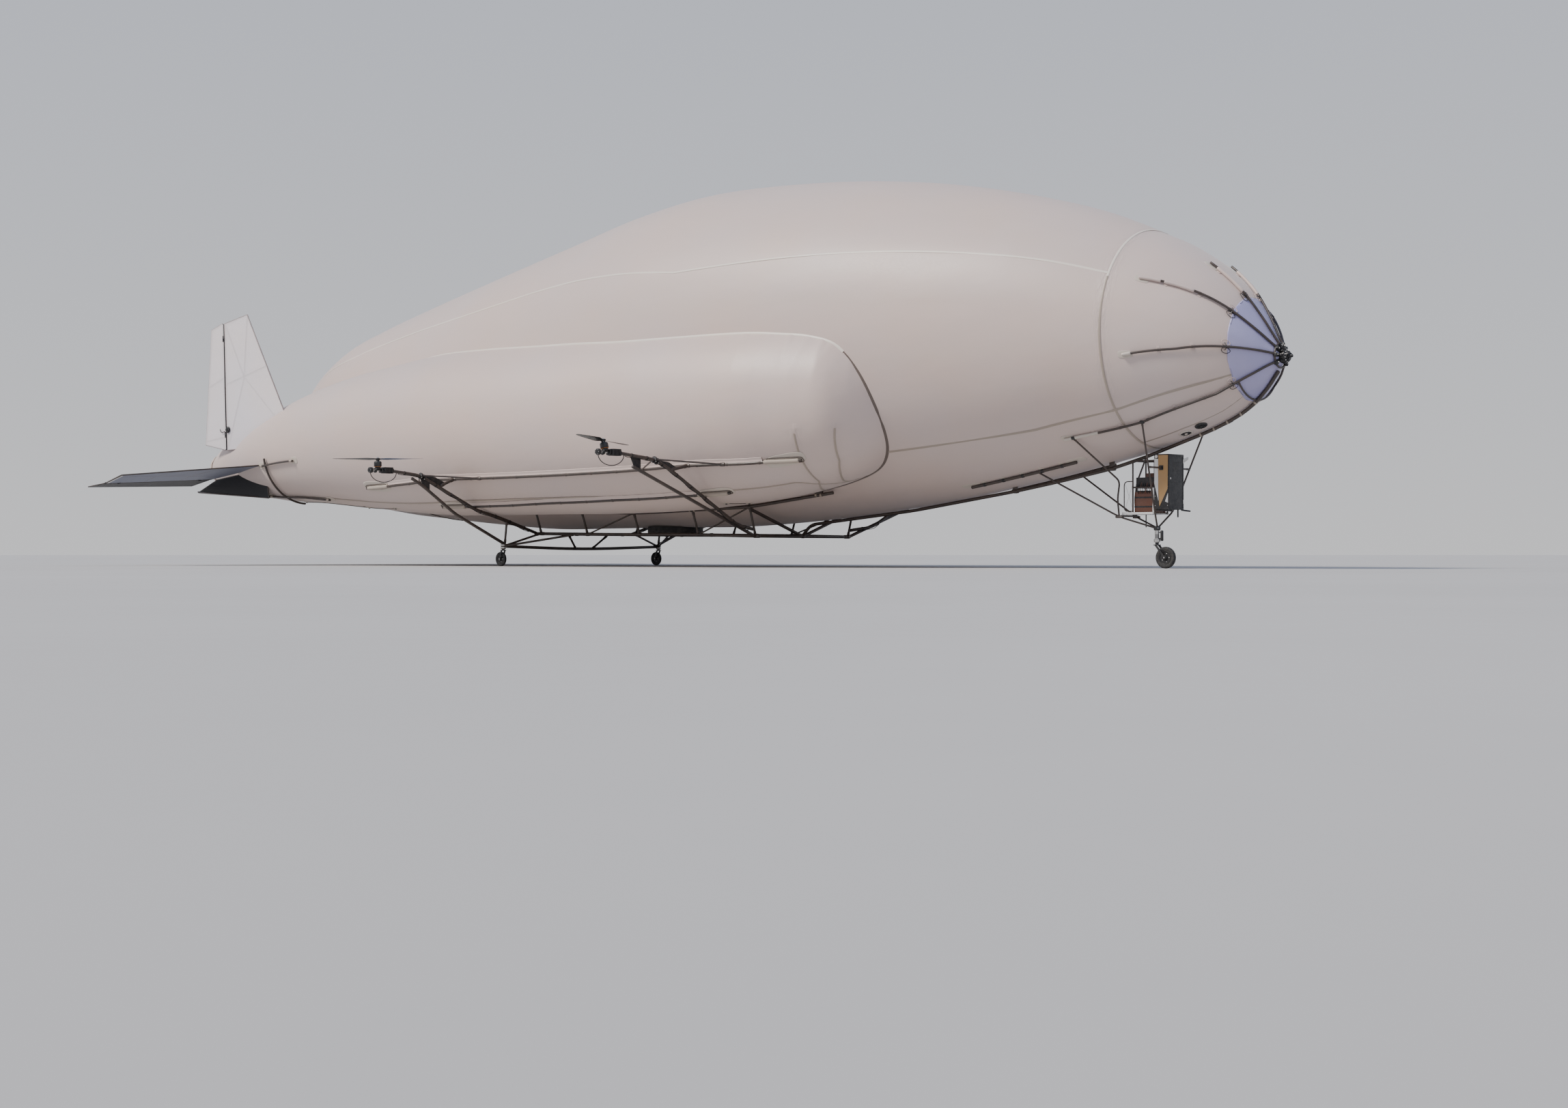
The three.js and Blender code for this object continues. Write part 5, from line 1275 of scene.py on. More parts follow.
def nose_leg():
    b = Build()
    top = ship(LEG_AFT, 0, LEG_COLLAR - 0.0004)
    length = LEG_COLLAR - LEG_FOOT
    foot = [(length - rise, radius) for rise, radius in
            ((0.055, 0.031), (0.052, 0.046), (0.048, 0.050), (0.012, 0.050), (0.008, 0.046), (0.0, 0.044))]
    b.lathe(top, DOWN, [(0, 0.034), (0.05, 0.034), (0.052, 0.031)] + foot, 0, 40)
    groove = [(0, 0.0315), (0.001, 0.0335), (0.005, 0.0335), (0.006, 0.0315)]
    for k in range(6):
        b.lathe(top + DOWN * (0.058 + 0.010 * k), DOWN, groove, 1, 32)
    damper = top + Vector((0.078, 0.010, 0.0))
    ends = [(length - 0.030, 0.024), (length - 0.022, 0.020), (length - 0.020, 0.010)]
    b.lathe(damper, DOWN, [(0, 0.012), (0.004, 0.020), (0.010, 0.024)] + ends, 1, 28)
    for drop in (0.030, length - 0.060):
        b.block(top + Vector((0.042, 0.005, -drop)), (0.060, 0.022, 0.016), 1, 0.003)
    b.make("nose_leg_strut", "airframe", [STEEL, BLACK_METAL], ["nose_leg"])


def cabinet():
    b = Build()
    front, back, half, floor, top = CABINET.values()
    t = 0.012
    level_block(b, front, front + t, 0, half, floor, top, 0, 0.004)
    for way in (1, -1):
        level_block(b, front + t, back, way * (half - t / 2), t / 2, floor, top, 0, 0.003)
    for low, high in ((floor, floor + t), (top - t, top)):
        level_block(b, front + t, back, 0, half - t, low, high, 0, 0.003)
    middle = (floor + top) / 2
    level_block(b, front + t, back - 0.012, 0, half - t, middle, middle + t, 0, 0.003)
    # door frame, hinges, latch and vent slots on the front
    for port in (-1, 1):
        level_block(b, front - 0.004, front + 0.002, port * (half - 0.022), 0.012, floor + 0.02, top - 0.02, 0, 0.002)
    for up in (floor + 0.02, middle, top - 0.02):
        level_block(b, front - 0.004, front + 0.002, 0, half - 0.03, up - 0.008, up + 0.008, 0, 0.002)
    for k in range(7):
        up = top - 0.12 - 0.022 * k
        level_block(b, front - 0.003, front + 0.002, 0, 0.10, up - 0.005, up + 0.005, 4, 0.001)
    for up in (floor + 0.12, top - 0.10):
        b.lathe(level(front - 0.004, half - 0.022, up - 0.03), UP, [(0, 0.006), (0.06, 0.006)], 2, 14)
    b.lathe(level(front, -half + 0.05, middle + 0.05), FORWARD, stud(0.016, 0.004, 0.006, 0.012) + [(0.006, 0.0)],
            2, 24)
    # screws round both side panels
    for side in (-1, 1):
        for up in evenly(floor + 0.06, top - 0.06, 5):
            for aft in (front + 0.02, back - 0.02):
                b.lathe(level(aft, side * half, up), PORTWARD * side, stud(0.006, 0.002, 0.003, 0.003), 2, 10)
    # a patch of sunlight painted on the starboard face as a golden plate, pale plates beside it, boxes and wiring
    # inside
    face = -half - 0.002
    sunlit_patch = [(front + 0.012, top - 0.015), (back - 0.072, top - 0.015), (back - 0.072, floor + 0.355),
            (back - 0.092, floor + 0.045), (front + 0.018, floor + 0.31)]
    pale = [(back - 0.070, top - 0.07), (back - 0.006, top - 0.07), (back - 0.006, floor + 0.39),
            (back - 0.076, floor + 0.13), (back - 0.070, floor + 0.35)]
    corner = [(front + 0.012, floor + 0.245), (front + 0.060, floor + 0.12), (front + 0.012, floor + 0.10)]
    for outline, thickness, slot in ((sunlit_patch, 0.005, 1), (pale, 0.006, 3), (corner, 0.005, 3)):
        b.plate([level(aft, face, up) for aft, up in outline], thickness, slot, 0.001)
    b.lathe(level(back - 0.04, -half - 0.001, top - 0.035), -PORTWARD,
            stud(0.024, 0.008, 0.014, 0.018) + [(0.014, 0.0)], 3, 24)
    b.tube([level(front + 0.02, 0.19, floor - 0.004), level(front - 0.05, 0.32, floor - 0.02)], 0.026, 0, 10)
    b.tube([level(front + 0.03, 0.10, floor), level(front + 0.03, 0.10, floor - 0.11)], 0.024, 0, 10)
    b.plate([level(front + 0.01, half, top - 0.06), level(front - 0.02, half + 0.10, top - 0.03),
             level(front - 0.02, half + 0.10, top - 0.07), level(front + 0.01, half, top - 0.13)], 0.004, 2, 0.001)
    level_block(b, front + 0.03, back - 0.03, -0.06, 0.09, floor + t, floor + 0.26, 4, 0.006)
    level_block(b, front + 0.03, back - 0.05, 0.11, 0.06, floor + t, floor + 0.20, 5, 0.004)
    level_block(b, front + 0.03, back - 0.04, 0.04, 0.13, middle + t, middle + 0.16, 4, 0.006)
    for k in range(7):
        points = [level(back - 0.05, -0.15 + 0.05 * k, floor + 0.10),
                  level(back - 0.01, -0.14 + 0.05 * k, floor + 0.22 + 0.02 * (k % 3)),
                  level(back - 0.04, -0.10 + 0.04 * k, middle + 0.06)]
        b.tube(rounded(points, 0.06, 5), 0.008, 6, 8)
    b.make("equipment_cabinet_box", "airframe", [PANEL, PAINTED_SUNLIGHT, STEEL, WHITE_STRIP, PLASTIC, BATTERY, WIRE],
           ["equipment_cabinet"])


def rack():
    b = Build()
    front, back, tray, half, floor, top, sheet, tube = RACK.values()
    middle, post = (floor + top) / 2, half - tube / 2
    level_block(b, front, tray, 0, half, floor, floor + sheet, 1, 0.004)
    for side in (-1, 1):
        level_block(b, front, tray, side * (half - 0.004), 0.004, floor, floor + 0.035, 1, 0.002)
        for aft in (front + tube / 2, back - tube / 2):
            b.tube([level(aft, side * post, up) for up in (floor + 0.008, top)], tube, 0)
        for up in (middle, top - tube / 2):
            b.tube([level(aft, side * post, up) for aft in (front + 0.01, back - 0.01)], tube, 0)
    for aft in (front + tube / 2, back - tube / 2):
        for up in (middle, top - tube / 2):
            b.tube([level(aft, -post, up), level(aft, post, up)], tube, 0)
    level_block(b, front + 0.03, tray - 0.01, -half - 0.002, 0.003, floor + 0.002, floor + 0.034, 6, 0.001)
    level_block(b, front + 0.001, front + 0.036, -half - 0.001, 0.004, floor + 0.03, floor + 0.40, 6, 0.0015)
    b.tube([level(2.30, -0.02, floor - drop) for drop in (0.0, 0.19)], 0.018, 2, 10)
    level_block(b, front, back, 0, half - 0.004, middle - sheet / 2, middle + sheet / 2, 1, 0.003)
    # equipment on the middle shelf, and its cables
    level_block(b, front + 0.04, back - 0.05, -0.05, 0.11, middle + 0.01, middle + 0.15, 2, 0.008)
    level_block(b, front + 0.05, back - 0.09, 0.11, 0.045, middle + 0.01, middle + 0.22, 3, 0.005)
    for k in range(8):
        points = [level(front + 0.06 + 0.03 * k, -0.14, middle + 0.12),
                  level(front + 0.05 + 0.035 * k, -0.175, middle + 0.02),
                  level(front + 0.09 + 0.03 * k, -0.178, middle - 0.10),
                  level(front + 0.06 + 0.035 * k, -0.15, floor + 0.34)]
        b.tube(rounded(points, 0.05, 5), 0.009, 4 if k % 3 else 3, 8)
    # loop guard at the back with crossed wires
    for side in (-1, 1):
        loop = [level(aft, side * 0.188, floor + rise) for aft, rise in
                ((back - 0.012, 0.05), (tray - 0.03, 0.05), (tray - 0.03, 0.50), (back - 0.012, 0.50))]
        b.tube(rounded(loop, 0.09, 6), 0.016, 0)
        b.tube([loop[0] + UP * 0.03, loop[2] - Vector((-0.02, 0, 0.04))], 0.004, 5, 6)
        b.tube([loop[1] + Vector((0.02, 0, 0.04)), loop[3] - UP * 0.03], 0.004, 5, 6)
    b.make("equipment_rack_frame", "airframe", [DARK_TUBE, STEEL, PLASTIC, BATTERY, WIRE, STEEL, WHITE_STRIP],
           ["equipment_rack"])


def battery():
    b = Build()
    front, back, half, floor, tube = (RACK[k] for k in ("front", "back", "half", "floor", "tube"))
    room = tube + 0.006
    low, high = floor + 0.0165, floor + 0.36
    count = 6
    width = 2 * (half - room) / count
    for k in range(count):
        port = -half + room + width * (k + 0.5)
        level_block(b, front + room, back - room, port, width / 2 - 0.0015, low, high - 0.018, 0, 0.010)
        level_block(b, front + room + 0.02, back - room - 0.02, port, width / 2 - 0.006, high - 0.022, high, 1, 0.003)
        for aft in (front + room + 0.06, back - room - 0.06):
            b.lathe(level(aft, port, high - 0.004), UP, stud(0.007, 0.004, 0.004, 0.0), 2, 12)
    for up in (low + 0.10, low + 0.24):
        for side in (-1, 1):
            level_block(b, front + room - 0.002, back - room + 0.002, side * (half - room - 0.001), 0.0025,
                        up - 0.012, up + 0.012, 1, 0.001)
    b.make("battery_cells", "airframe", [BATTERY, PLASTIC, STEEL], ["battery_pack"])


nose_gear_frame()
nose_leg()
cabinet()
rack()
battery()

# Castors

CASTORS = {
    "nose": dict(aft=1.97, radius=0.165, width=0.07, swivel_aft=LEG_AFT, swivel_up=LEG_FOOT, port=0.0),
    "main": dict(aft=14.52, radius=0.13, width=0.05, swivel_aft=MAIN_AXLE_AFT, swivel_up=0.46, port=MAIN_GEAR_PORT),
}


def wheel_centre(castor, side):
    point = ship(castor["aft"], side * castor["port"], 0)
    point.z = castor["radius"]
    return point


def fork(name, node, body, castor, side):
    b = Build()
    head = ship(castor["swivel_aft"], side * castor["port"], castor["swivel_up"])
    centre = wheel_centre(castor, side)
    crown = centre.z + castor["radius"] + 0.02
    top = head.z - 0.0006
    length = top - crown
    b.lathe(Vector((head.x, head.y, top)), DOWN,
            [(0, 0.024), (0.002, 0.029), (0.012, 0.030), (0.014, 0.026), (length - 0.012, 0.026),
             (length - 0.006, 0.030), (length, 0.030)], 0, 36)
    b.block(Vector((head.x, head.y, crown + 0.007)), (0.069, castor["width"] + 0.039, 0.014), 0, 0.005)
    for cheek in (-1, 1):
        y = head.y + cheek * (castor["width"] / 2 + 0.014)
        outline = [Vector((centre.x + 0.020 * math.cos(t), y, centre.z - 0.016 * math.sin(t) + 0.002))
                   for t in evenly(0, math.pi, 8)]
        outline += [Vector((head.x - 0.022, y, crown + 0.010)), Vector((head.x + 0.022, y, crown + 0.010))]
        b.plate(outline, 0.0078, 0, 0.0012)
        b.lathe(Vector((centre.x, y + cheek * 0.0035, centre.z)), PORTWARD * cheek,
                [(0, 0.013), (0.001, 0.013), (0.0015, 0.010), (0.007, 0.010), (0.008, 0.005)], 1, 6)
    b.make(name, body, [BLACK_METAL, STEEL], [node])


def wheel(name, node, body, castor, side):
    b = Build()
    centre, radius, width = wheel_centre(castor, side), castor["radius"], castor["width"]
    w, bead = width / 2, radius * 0.62
    half = [(w * x, radius * y) for x, y in
            ((0.46, 0.980), (0.74, 0.956), (0.94, 0.90), (0.97, 0.80), (0.86, 0.70), (0.62, 0.62))]
    tyre = [(-x, y) for x, y in half[::-1]] + [(0.0, radius * 0.984)] + half
    b.lathe(centre, PORTWARD, tyre + [(w * 0.3, bead * 0.98), (-w * 0.3, bead * 0.98), tyre[0]], 0, 72,
            caps=(False, False))
    for t, _ in around(44):
        for row, skew in ((-0.52, 0.35), (0.0, -0.35), (0.52, 0.35)):
            tt = t + (0.07 if row == 0 else 0)
            out = Vector((math.cos(tt), 0, math.sin(tt)))
            reach = radius * (0.986 if row == 0 else 0.974)
            turn = Matrix.Rotation(-tt + math.pi / 2, 3, "Y") @ Matrix.Rotation(skew, 3, "Z")
            b.block(centre + out * reach + PORTWARD * row * w, (radius * 0.095, w * 0.42, radius * 0.018), 0, 0.0007,
                    turn, 1)
    for side_out in (-1, 1):
        out = PORTWARD * side_out
        rim = [(w * x, bead * y) for x, y in
               ((0.60, 1.01), (0.70, 1.02), (0.74, 0.97), (0.60, 0.90), (0.38, 0.84), (0.34, 0.45))]
        boss = [(w * 0.60, radius * 0.24), (w + 0.0085, radius * 0.17), (w + 0.0090, radius * 0.15),
                (w + 0.0090, 0.0)]
        b.lathe(centre, out, rim + boss, 1, 48, caps=(False, True))
        bolt = stud(radius * 0.045, 0.004, 0.006, radius * 0.02)
        for _, spoke in around(5, "Y"):
            b.lathe(centre + spoke * bead * 0.62 + out * w * 0.30, out, bolt, 2, 6)
    b.make(name, body, [RUBBER, BLACK_METAL, STEEL], [node])


fork("nose_castor_fork", "nose_fork", "nose_castor", CASTORS["nose"], 1)
wheel("nose_castor_wheel", "nose_wheel", "nose_wheel", CASTORS["nose"], 1)
for hand, side in SIDES:
    fork(f"main_castor_fork_{hand}", f"main_fork_{hand}", f"main_castor_{hand}", CASTORS["main"], side)
    wheel(f"main_castor_wheel_{hand}", f"main_wheel_{hand}", f"main_wheel_{hand}", CASTORS["main"], side)

# Belly fittings

BLOWER_AFT, BLOWER_UP = 12.1, 0.79
COLLAR_AFT, COLLAR_PORT, COLLAR_SQUASH = 6.65, 0.66, 0.8


def blower():
    b = Build()
    base = ship(BLOWER_AFT, 0, BLOWER_UP - 0.10)
    b.lathe(base, UP, [(0.0, 0.365), (0.0, 0.492), (0.006, 0.499), (0.02, 0.5), (0.09, 0.5), (0.12, 0.49),
                       (0.12, 0.37), (0.055, 0.362), (0.006, 0.361), (0.0, 0.365)], 0, 72, caps=(False, False))
    for _, out in around(24):
        b.lathe(base + out * 0.43, DOWN, stud(0.010, 0.004, 0.006, 0.006), 1, 6)
    for _, out in around(6, start=0.2):
        b.tube([base + out * reach + UP * 0.03 for reach in (0.08, 0.40)], 0.026, 0, 10)
    for radius in (0.14, 0.20, 0.26, 0.32):
        ring = [base + out * radius + UP * 0.022 for _, out in around(60)]
        b.tube(ring + ring[:1], 0.007, 1, 6, ends="flat")
    b.lathe(base + UP * 0.004, UP, [(0, 0.0), (0, 0.09), (0.006, 0.108), (0.03, 0.11), (0.08, 0.11), (0.08, 0.0)],
            0, 36)
    for _, out in around(9):
        aside, rings = UP.cross(out), []
        for reach, pitch, chord in ((0.11, 50, 0.10), (0.22, 36, 0.12), (0.34, 26, 0.12)):
            a = math.radians(pitch)
            lean = (aside * math.cos(a) + UP * math.sin(a)) * (chord / 2)
            thin = (aside * -math.sin(a) + UP * math.cos(a)) * 0.0025
            middle = base + out * reach + UP * 0.075
            rings.append([middle + lean * x + thin * z for x, z in ((1, 1), (-1, 1), (-1, -1), (1, -1))])
        b.rings(rings, 2)
    b.make("belly_blower_unit", "airframe", [PLASTIC, STEEL, BLACK_METAL], ["belly_blower"])


def collar():
    b = Build()
    rings = []

    def spot(t, reach):
        """The station, and the degrees below the middle, of a point so far out from the collar's middle."""
        aft, port = COLLAR_AFT - reach * math.cos(t), COLLAR_PORT + reach * COLLAR_SQUASH * math.sin(t)
        return aft, math.degrees(math.acos(port / CENTRE.at(aft)[3]))

    for reach, rise in ((0.305, -0.006), (0.312, 0.014), (0.325, 0.026), (0.355, 0.027), (0.372, 0.018),
                        (0.379, -0.006)):
        rings.append([CENTRE.skin(1, *spot(t, reach), rise) for t, _ in around(64)])
    b.rings(rings + [rings[0]], 0, caps=(False, False))
    for t, _ in around(20, shift=0.5):
        aft, below = spot(t, 0.34)
        b.lathe(CENTRE.skin(1, aft, below, 0.022), CENTRE.normal(1, aft, below), stud(0.009, 0.005, 0.008, 0.004),
                1, 10)
    b.make("belly_collar_ring", "airframe", [PLASTIC, STEEL], ["belly_collar"])


def valve(name, node, aft, port, diameter, light):
    b = Build()
    side = 1 if port > 0 else -1
    below = math.degrees(math.acos(abs(port) / CENTRE.at(aft)[3]))
    at, out = CENTRE.skin(side, aft, below), CENTRE.normal(side, aft, below)
    across = out.cross(PORTWARD).normalized()
    other = out.cross(across)
    r = diameter / 2 * 0.94
    b.lathe(at, out, [(-0.01, r), (0.006, r), (0.012, r * 0.97), (0.016, r * 0.90), (0.016, r * 0.80),
                      (0.006, r * 0.74), (0.006, 0.0)], 0, 48)
    for t, _ in around(12):
        spot = at + (across * math.cos(t) + other * math.sin(t)) * r * 0.86 + out * 0.015
        b.lathe(spot, out, stud(0.005, 0.003, 0.004, 0.003), 1, 8)
    for k in range(-2, 3):
        offset = k * r * 0.26
        reach = math.sqrt((r * 0.74) ** 2 - offset ** 2)
        b.tube([at + across * offset + other * end + out * 0.012 for end in (-reach, reach)], 0.007, 1, 6)
    b.lathe(at + out * 0.006, out, [(0, r * 0.24), (0.012, r * 0.24), (0.016, r * 0.16), (0.016, 0.0)], 0, 24)
    if light:
        b.lathe(at + out * 0.0066, out, stud(r * 0.735, 0.0012, 0.0012, 0.0), 2, 48)
    b.make(name, "airframe", [PATCHES if light else PLASTIC, BLACK_METAL, PLASTIC], [node])


blower()
collar()
valve("front_relief_valve", "front_valve", 1.22, -0.26, 0.20, False)
valve("rear_relief_valve", "rear_valve", 1.49, -0.23, 0.22, True)
valve("bow_vent_grille", "bow_vent", 1.08, 0.30, 0.16, False)

# Tail

FIN_PORT = 3.0
FIN_HUB = (0.549, 0.578)
FIN_RIBS = [(FIN_HUB, corner) for corner in ((1, 1), (1, 0), (0, 0), (0, 1))] + [((0.60, 0), (0.52, 1))]
UPRIGHT_TAIL = dict(ahead=[(19.21, 2.60), (20.78, 5.21)], hinge=[(21.55, 5.10), (21.45, 2.60)],
                    behind=[(22.14, 2.74), (21.95, 5.01)])
FLAT_TAIL = dict(ahead=[(20.05, 3.02, 2.24), (20.84, 5.76, 2.00)], hinge=[(21.47, 5.70, 1.885), (21.90, 3.04, 2.05)],
                 behind=[(22.58, 3.04, 1.94), (21.99, 5.74, 1.835)])
RING_SHARES = (0.12, 0.88)
APRON = [(20.45, 1.62), (21.40, 1.70), (22.46, 1.80)]
APRON_HALF, APRON_BAY = 2.98, 0.745
TAIL_STAY = [(16.78, 72), (17.78, 83), (19.80, 90)]
FRONT_STAY = [(8.61, 87), (8.92, 79)]


def covered_panel(b, corners, skin_slot, frame_slot, thickness, ribs, edge_tube, sag=0.006, tape=0.0, bow=0.0):
    """Cloth stretched over a tube frame: the corners run round, and ribs are lines across, as shares of two edges.

    A level panel may carry dark tape over its ribs, which bows by a share of the span.
    """
    low, low_end, high_end, high = corners
    normal = (low_end - low).cross(high - low).normalized()

    def at(u, v):
        return (low * (1 - u) + low_end * u) * (1 - v) + (high * (1 - u) + high_end * u) * v

    for sign in (1, -1):
        grid = []
        for v in evenly(0, 1, 28):
            row = []
            for u in evenly(0, 1, 36):
                dip = sag * math.sin(math.pi * u) ** 0.7 * math.sin(math.pi * v) ** 0.7
                for (u0, v0), (u1, v1) in ribs:
                    along = ((u - u0) * (u1 - u0) + (v - v0) * (v1 - v0)) / max((u1 - u0) ** 2 + (v1 - v0) ** 2, 1e-6)
                    along = min(1, max(0, along))
                    gap = math.hypot(u - u0 - (u1 - u0) * along, v - v0 - (v1 - v0) * along)
                    dip *= 1 - math.exp(-(gap / 0.06) ** 2)
                rise = thickness / 2 - dip + 0.0008 * noise.noise(Vector((u * 9, v * 9, sign)))
                row.append(at(u, v) + normal * rise * sign)
            grid.append(row)
        b.rings(grid, skin_slot, closed=False, caps=(False, False))
    for p, q in zip(corners, corners[1:] + corners[:1]):
        b.tube([p, q], edge_tube, frame_slot, 12)
    for (u0, v0), (u1, v1) in ribs:
        p, q = at(u0, v0), at(u1, v1)
        b.tube([p, q], thickness * 0.86, frame_slot, 10)
        if tape:
            lean = bow if abs(u1 - u0) < 0.2 else 0.0
            line = [at(u0 + (u1 - u0) * t + 4 * lean * t * (1 - t), v0 + (v1 - v0) * t)
                    for t in evenly(0, 1, 12)]
            b.tube(line, tape, frame_slot, 14, squash=thickness * 1.05 / tape)


def hinge_rings(b, line, slot, lead):
    axis = (line[1] - line[0]).normalized()
    for share in RING_SHARES:
        centre = line[0].lerp(line[1], share)
        b.lathe(centre - axis * 0.025, axis, [(0, 0.0192), (0, 0.029), (0.002, 0.031), (0.048, 0.031), (0.05, 0.029),
                                              (0.05, 0.0192), (0, 0.0192)], slot, 28, caps=(False, False))
        b.tube([centre + lead.normalized() * 0.028, centre + lead * 2], 0.024, slot, 10)


def rudder_servo(b, line):
    """The round rudder servo at the foot of the hinge, on the fin's outer face."""
    side = 1 if line[0].y > 0 else -1
    outward = PORTWARD * side
    at = line[1].lerp(line[0], 0.16) + Vector((0.085, side * 0.013, 0))
    b.lathe(at, outward, [(0, 0.058), (0.004, 0.062), (0.026, 0.062), (0.032, 0.056), (0.034, 0.022),
                          (0.042, 0.020), (0.042, 0.0)], 2, 36)
    b.lathe(at, -outward, [(0.020, 0.050), (0.030, 0.050), (0.034, 0.044), (0.034, 0.0)], 2, 36)
    for t, _ in around(5):
        spot = at + Vector((math.cos(t) * 0.048, side * 0.031, math.sin(t) * 0.048))
        b.lathe(spot, outward, stud(0.005, 0.003, 0.004, 0.003), 1, 8)


def tail_surface(name, node, body, corners, line, mats, ribs, thickness, tubes, tape=0.0, bow=0.0):
    lead = (corners[0] - line[1]).normalized() * 0.034
    b = Build()
    a, c = corners
    covered_panel(b, [a, c, line[0] + lead, line[1] + lead], 0, 1, thickness, ribs, tubes, tape=tape, bow=bow)
    hinge_rings(b, line, 2, lead)
    if tape:
        # pale cover along the tip, dark cuffs along the front and root
        inward = (a - c).normalized() * 0.020
        for ends, width, proud, slot in (([c + inward, line[0] + lead + inward], 0.060, 1.16, 3),
                                         ([a, c], 0.052, 1.10, 1), ([a, line[1] + lead], 0.052, 1.10, 1)):
            b.tube(ends, width, slot, 14, squash=thickness * proud / width)
    else:
        rudder_servo(b, line)
    b.make(name, body, mats, [node], smooth_angle=50)


def moving_tail(name, node, body, corners, line, mats, ribs, thickness, tubes, tape=0.0, horn=False):
    b = Build()
    p0, p1 = line[1], line[0]
    axis, length = (p0 - p1).normalized(), (p0 - p1).length
    low, high = corners
    away = (low - p0).normalized() * 0.045
    covered_panel(b, [p0 + away, low, high, p1 + away], 0, 1, thickness, ribs, tubes, tape=tape)
    if horn:
        side = 1 if p0.y > 0 else -1
        foot = p0.lerp(p1, 0.16)
        curve = [foot + Vector((dx, side * dy, dz)) for dx, dy, dz in
                 ((-0.05, 0.006, -0.03), (-0.05, 0.036, -0.045), (-0.09, 0.042, -0.050), (-0.135, 0.040, -0.030),
                  (-0.160, 0.034, 0.015))]
        b.tube(rounded(curve, 0.03, 5), 0.016, 2, 10)
    b.lathe(p1, axis, [(0, 0.0), (0, 0.016), (0.002, 0.018), (length - 0.002, 0.018), (length, 0.016), (length, 0.0)],
            2, 24)
    for share in (0.02, 0.24, 0.36, 0.5, 0.64, 0.76, 0.98):
        at = p1.lerp(p0, share)
        b.tube([at, at + away * 1.1], 0.018, 1, 10)
    # cloth round the hinge tube, with a gap at each ring
    low_ring, high_ring = RING_SHARES
    gap, normal = 0.05 / length, axis.cross(away).normalized()
    for first, last in ((0.0, low_ring - gap), (low_ring + gap, high_ring - gap), (high_ring + gap, 1.0)):
        p, q = p1.lerp(p0, first + 0.005), p1.lerp(p0, last - 0.005)
        b.rings([[at + normal * 0.0185, at + away + normal * (thickness / 2), at + away - normal * (thickness / 2),
                  at - normal * 0.0185] for at in (p.lerp(q, t) for t in evenly(0, 1, 12))])
    b.make(name, body, mats, [node], smooth_angle=50)


def upright_points(rows, side):
    return [ship(aft, side * FIN_PORT, up) for aft, up in rows]


for hand, side in SIDES:
    ahead, hinge, behind = (upright_points(rows, side) for rows in UPRIGHT_TAIL.values())
    tail_surface(f"fin_cover_{hand}", f"fin_{hand}", "airframe", ahead, hinge, [FIN_CLOTH, FIN_TUBE, BLACK_METAL],
                 FIN_RIBS, 0.024, 0.026)
    moving_tail(f"rudder_cover_{hand}", f"rudder_{hand}", f"rudder_{hand}", behind, hinge,
                [FIN_CLOTH, FIN_TUBE, BLACK_METAL], [((0, 0.57), (1, 0.50)), ((0, 0.10), (1, 0.03))],
                0.022, 0.022, horn=True)
    # the stabilizers' dark blue cloth is painted shade on their undersides, with painted sky light coming through it
    ahead, hinge, behind = (route(rows, side) for rows in FLAT_TAIL.values())
    tail_surface(f"stabilizer_cover_{hand}", f"stabilizer_{hand}", "airframe", ahead, hinge,
                 [BLUE_CLOTH_PAINTED_SHADE, DARK_TUBE, BLACK_METAL, WHITE_STRIP],
                 [((0.33, 0), (0.33, 1)), ((0.66, 0), (0.66, 1)), ((0, 0.85), (1, 0.2))],
                 0.026, 0.028, tape=0.042, bow=0.03)
    moving_tail(f"elevator_cover_{hand}", f"elevator_{hand}", f"elevator_{hand}", behind, hinge,
                [BLACK_CLOTH_AND_APRON_SHADE, DARK_TUBE, BLACK_METAL], [((0, 0.50), (1, 0.50))], 0.022, 0.022, tape=0.036)


def apron():
    # the apron's near-black cloth is painted shade: the hull above keeps the light off this middle part of the
    # tailplane
    b = Build()
    front, middle, back = (aft for aft, _ in APRON)
    for lift in (-0.002, 0.028):
        grid = []
        for i, aft in enumerate(evenly(front, back, 30)):
            line = []
            for port in evenly(-APRON_HALF, APRON_HALF, 96):
                # the rear edge is cut in between the ribs, and the cloth sags there
                notch = max(0, i - 26) * 0.035 / 4 * abs(math.sin(math.pi * port / APRON_BAY)) ** 0.8
                sag = 0.009 * math.sin(math.pi * (port + APRON_HALF) / APRON_BAY) ** 2 * math.sin(math.pi * i / 30)
                line.append(ship(aft - notch, port, table_at(APRON, aft) + lift + sag))
            grid.append(line)
        b.rings(grid, 0, closed=False, caps=(False, False))
    for j in range(9):
        rib = [ship(aft, APRON_BAY * j - APRON_HALF, table_at(APRON, aft) + 0.015)
               for aft in (front, 21.0, middle, 22.0, 22.45)]
        b.tube(rib, 0.028, 1, 10)
    for aft in (front, middle):
        b.tube([ship(aft, port, table_at(APRON, aft) + 0.015) for port in evenly(-2.97, 2.97, 20)], 0.030, 1, 10)
    for _, side in SIDES:
        corners = [ship(aft, side * 2.97, up) for aft, up in
                   ((20.22, 2.16), (20.12, 1.60), (22.44, 1.80), (21.80, 2.03))]
        b.plate(corners, 0.022, 0, 0.003)
        for p, q in zip(corners, corners[1:] + corners[:1]):
            b.tube([p, q], 0.026, 1, 10)
    b.make("tail_apron", "airframe", [BLACK_CLOTH_AND_APRON_SHADE, DARK_TUBE], ["centre_tailplane"], smooth_angle=50)


